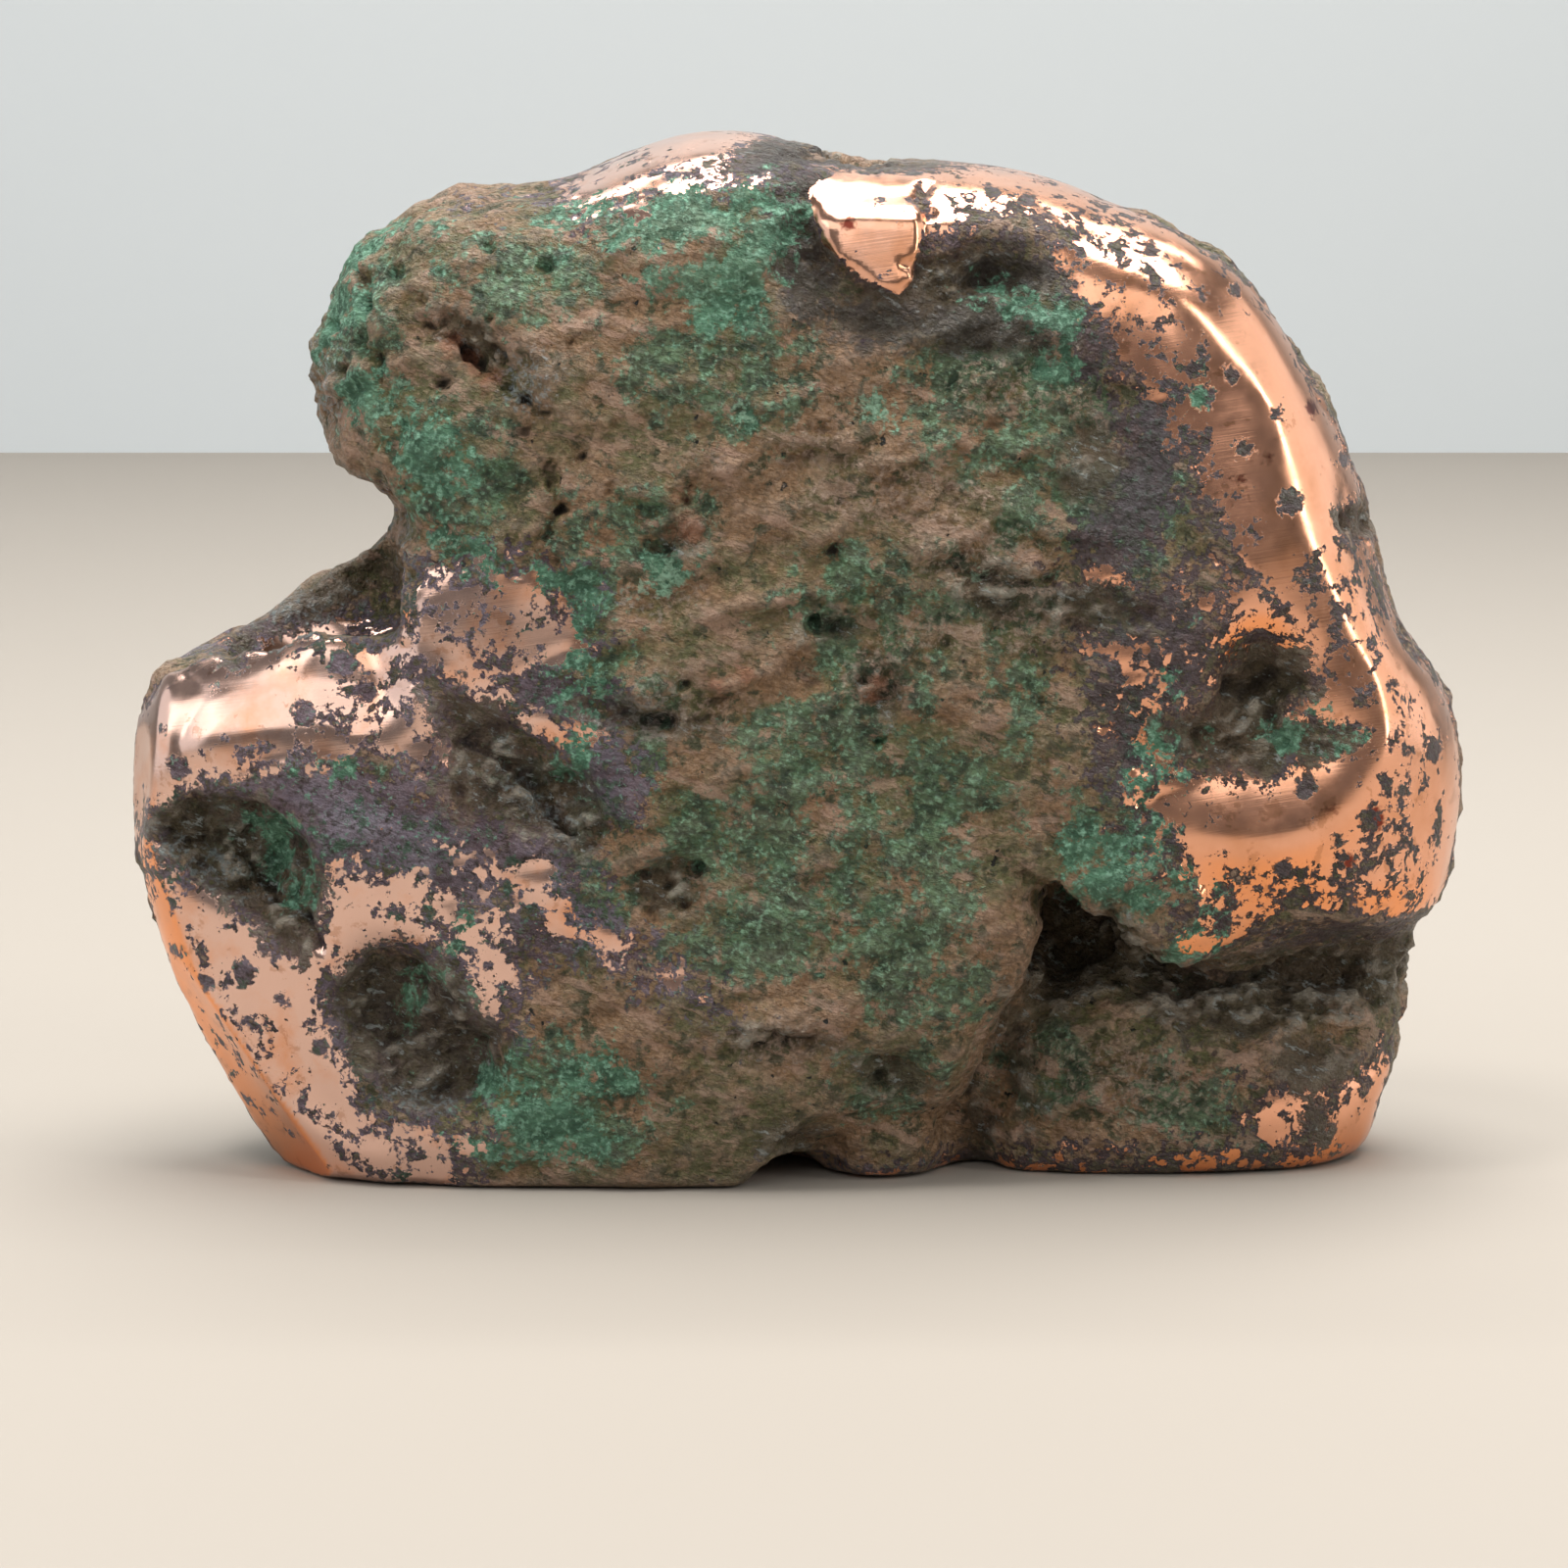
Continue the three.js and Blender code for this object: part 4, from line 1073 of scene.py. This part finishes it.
def make_textures(nodes):
    """The textures of the metal, by name."""
    maps = {name: nodes.cloud(*settings) for name, settings in CLOUDS.items()}
    maps["pebbles"] = pebbly_grain(nodes)
    maps["steps"] = small_steps(nodes, maps["shelf"])
    maps["pinholes"] = nodes.map(maps["pinholes"], -0.4, -0.46)
    maps["sparks"] = nodes.map(maps["sparks"], 0.16, 0.23)
    maps["hollow"] = nodes.attribute("hollow")
    maps["floor_reflection"] = nodes.attribute("floor_reflection")
    maps["across"] = nodes.add("SeparateXYZ", {0: nodes.place}).outputs["X"]
    maps["to the right"] = nodes.map(maps["across"], -0.03, 0.03)
    maps["to the left"] = nodes.rest_of(nodes.times(maps["to the right"], 0.75))
    return maps


def add_cover_shares(nodes, maps):
    """Adds the share of each cover: its attribute, with an edge that clouds break up into specks."""
    for name, (moves, softness) in COVER_EDGES.items():
        parts = [(maps[cloud], size) for cloud, size in moves.items()]
        maps[name] = nodes.map(nodes.add_up(nodes.attribute(name), parts), -softness, softness)
    # the glints: painted highlights on specks of the frost
    maps["glints"] = nodes.times(maps["frost"], nodes.map(maps["fine"], -0.05, 0.2))
    maps["film"] = nodes.times(maps["oxide"], nodes.rest_of(nodes.times(maps["dark"], 0.8)))
    maps["bright"] = nodes.times(maps["bright"], 0.85)
    spots = nodes.map(maps["spots"], 0.36, 0.38)
    covered = nodes.highest(spots, maps["film_spots"], nodes.map(maps["dark"], 0.2, 0.4))
    maps["bare"] = nodes.times(maps["bare"], nodes.rest_of(covered))


def gloss(nodes, maps):
    """How metallic and how rough each place is."""
    film_sheen = nodes.times(maps["film"], FILM_SHEEN)
    sheen = nodes.highest(film_sheen, nodes.times(maps["glints"], GLINT_SHEEN))
    metallic = nodes.blend(maps["bare"], sheen, 1.0)
    dull = nodes.map(maps["speck"], -0.4, 0.4, *PATINA_ROUGHNESS)
    darker = nodes.highest(maps["film"], maps["dark"], maps["glints"])
    dull = nodes.blend(darker, dull, DARK_ROUGHNESS)
    dull = nodes.blend(maps["bright"], dull, MALACHITE_ROUGHNESS)
    polish = nodes.map(maps["polish"], -0.4, 0.4, *COPPER_ROUGHNESS)
    return metallic, nodes.blend(maps["bare"], dull, polish)


def fine_relief(nodes, maps):
    """Relief too fine for the mesh: grit, the edge of the film and the marks of polishing."""
    parts = [(maps[name], size) for name, size in GRIT.items()]
    parts.append((nodes.times(maps["sparks"], maps["dark"]), DARK_SPARKS))
    grit = nodes.add_up(maps["swell"], parts)
    harsh = nodes.highest(maps["frost"], maps["dark"])
    grit = nodes.times(grit, nodes.map(harsh, 0.0, 1.0, *GRIT_SCALE))
    grit = nodes.times(grit, nodes.rest_of(nodes.times(maps["film"], 0.5)))
    marks = nodes.math("MULTIPLY_ADD", maps["polishing marks"], POLISHING_MARKS, COPPER_LEVEL)
    height = nodes.blend(maps["bare"], grit, marks)
    return nodes.add("Bump", {"Height": height, "Strength": 1.0, "Distance": BUMP * MM}).outputs[0]


def metal_material():
    nodes = Nodes("native_copper")
    maps = make_textures(nodes)
    add_cover_shares(nodes, maps)
    look = painted(nodes, maps, "brown")
    for name, strength in STRENGTHS.items():
        look = nodes.cover(look, painted(nodes, maps, name), maps[name], strength)
    metallic, roughness = gloss(nodes, maps)
    nodes.feed(nodes.shader.inputs["Base Color"], look)
    nodes.feed(nodes.shader.inputs["Metallic"], metallic)
    nodes.feed(nodes.shader.inputs["Roughness"], roughness)
    nodes.feed(nodes.shader.inputs["Normal"], fine_relief(nodes, maps))
    return nodes.material


# ---- The nugget ----


def make_nugget():
    piece = remeshed(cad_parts["nugget"])
    sculpt(piece.data)
    piece.data.materials.clear()
    piece.data.materials.append(metal_material())
    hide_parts("nugget")
    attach(piece, "root")


# ---- The studio ----


def plain_material(name, shade):
    material = bpy.data.materials.new(name)
    material.use_nodes = True
    shader = material.node_tree.nodes["Principled BSDF"]
    shader.inputs["Base Color"].default_value = shade
    shader.inputs["Roughness"].default_value = 0.8
    return material


def make_stage():
    """A pale floor, and a pale backdrop behind it."""
    for name, (corners, shade) in STAGE.items():
        mesh = bpy.data.meshes.new(name)
        mesh.from_pydata(corners, [], [(0, 1, 2, 3)])
        mesh.materials.append(plain_material(name, shade))
        sheet = bpy.data.objects.new(name, mesh)
        bpy.context.scene.collection.objects.link(sheet)


def add_softbox(name, place, aim, size, power, tint):
    light = bpy.data.lights.new(name, "AREA")
    light.shape = "RECTANGLE"
    light.size, light.size_y = size
    light.energy = power
    light.color = tint
    lamp = bpy.data.objects.new(name, light)
    lamp.location = place
    lamp.rotation_euler = (Vector(aim) - Vector(place)).to_track_quat("-Z", "Y").to_euler()
    lamp.visible_camera = False
    # the rake picks out the relief of the patina, and the bare metal doesn't mirror it
    lamp.visible_glossy = name != "rake"
    bpy.context.scene.collection.objects.link(lamp)


def make_lights():
    for softbox in SOFTBOXES:
        add_softbox(*softbox)
    world = bpy.data.worlds.new("studio")
    world.use_nodes = True
    background = world.node_tree.nodes["Background"]
    background.inputs["Color"].default_value = SKY
    background.inputs["Strength"].default_value = SKY_STRENGTH
    bpy.context.scene.world = world


def make_camera():
    """Nearly level with the top of the nugget, half a metre in front of it, and looking slightly down."""
    camera = bpy.data.cameras.new("camera")
    camera.sensor_width = CAMERA_SENSOR
    camera.lens = CAMERA_LENS
    holder = bpy.data.objects.new("camera", camera)
    holder.location = CAMERA_PLACE
    holder.rotation_euler = (math.radians(90 - CAMERA_TILT), 0, 0)
    bpy.context.scene.collection.objects.link(holder)
    bpy.context.scene.camera = holder


make_camera()
make_nugget()
make_stage()
make_lights()
bpy.context.scene.view_settings.view_transform = "Standard"
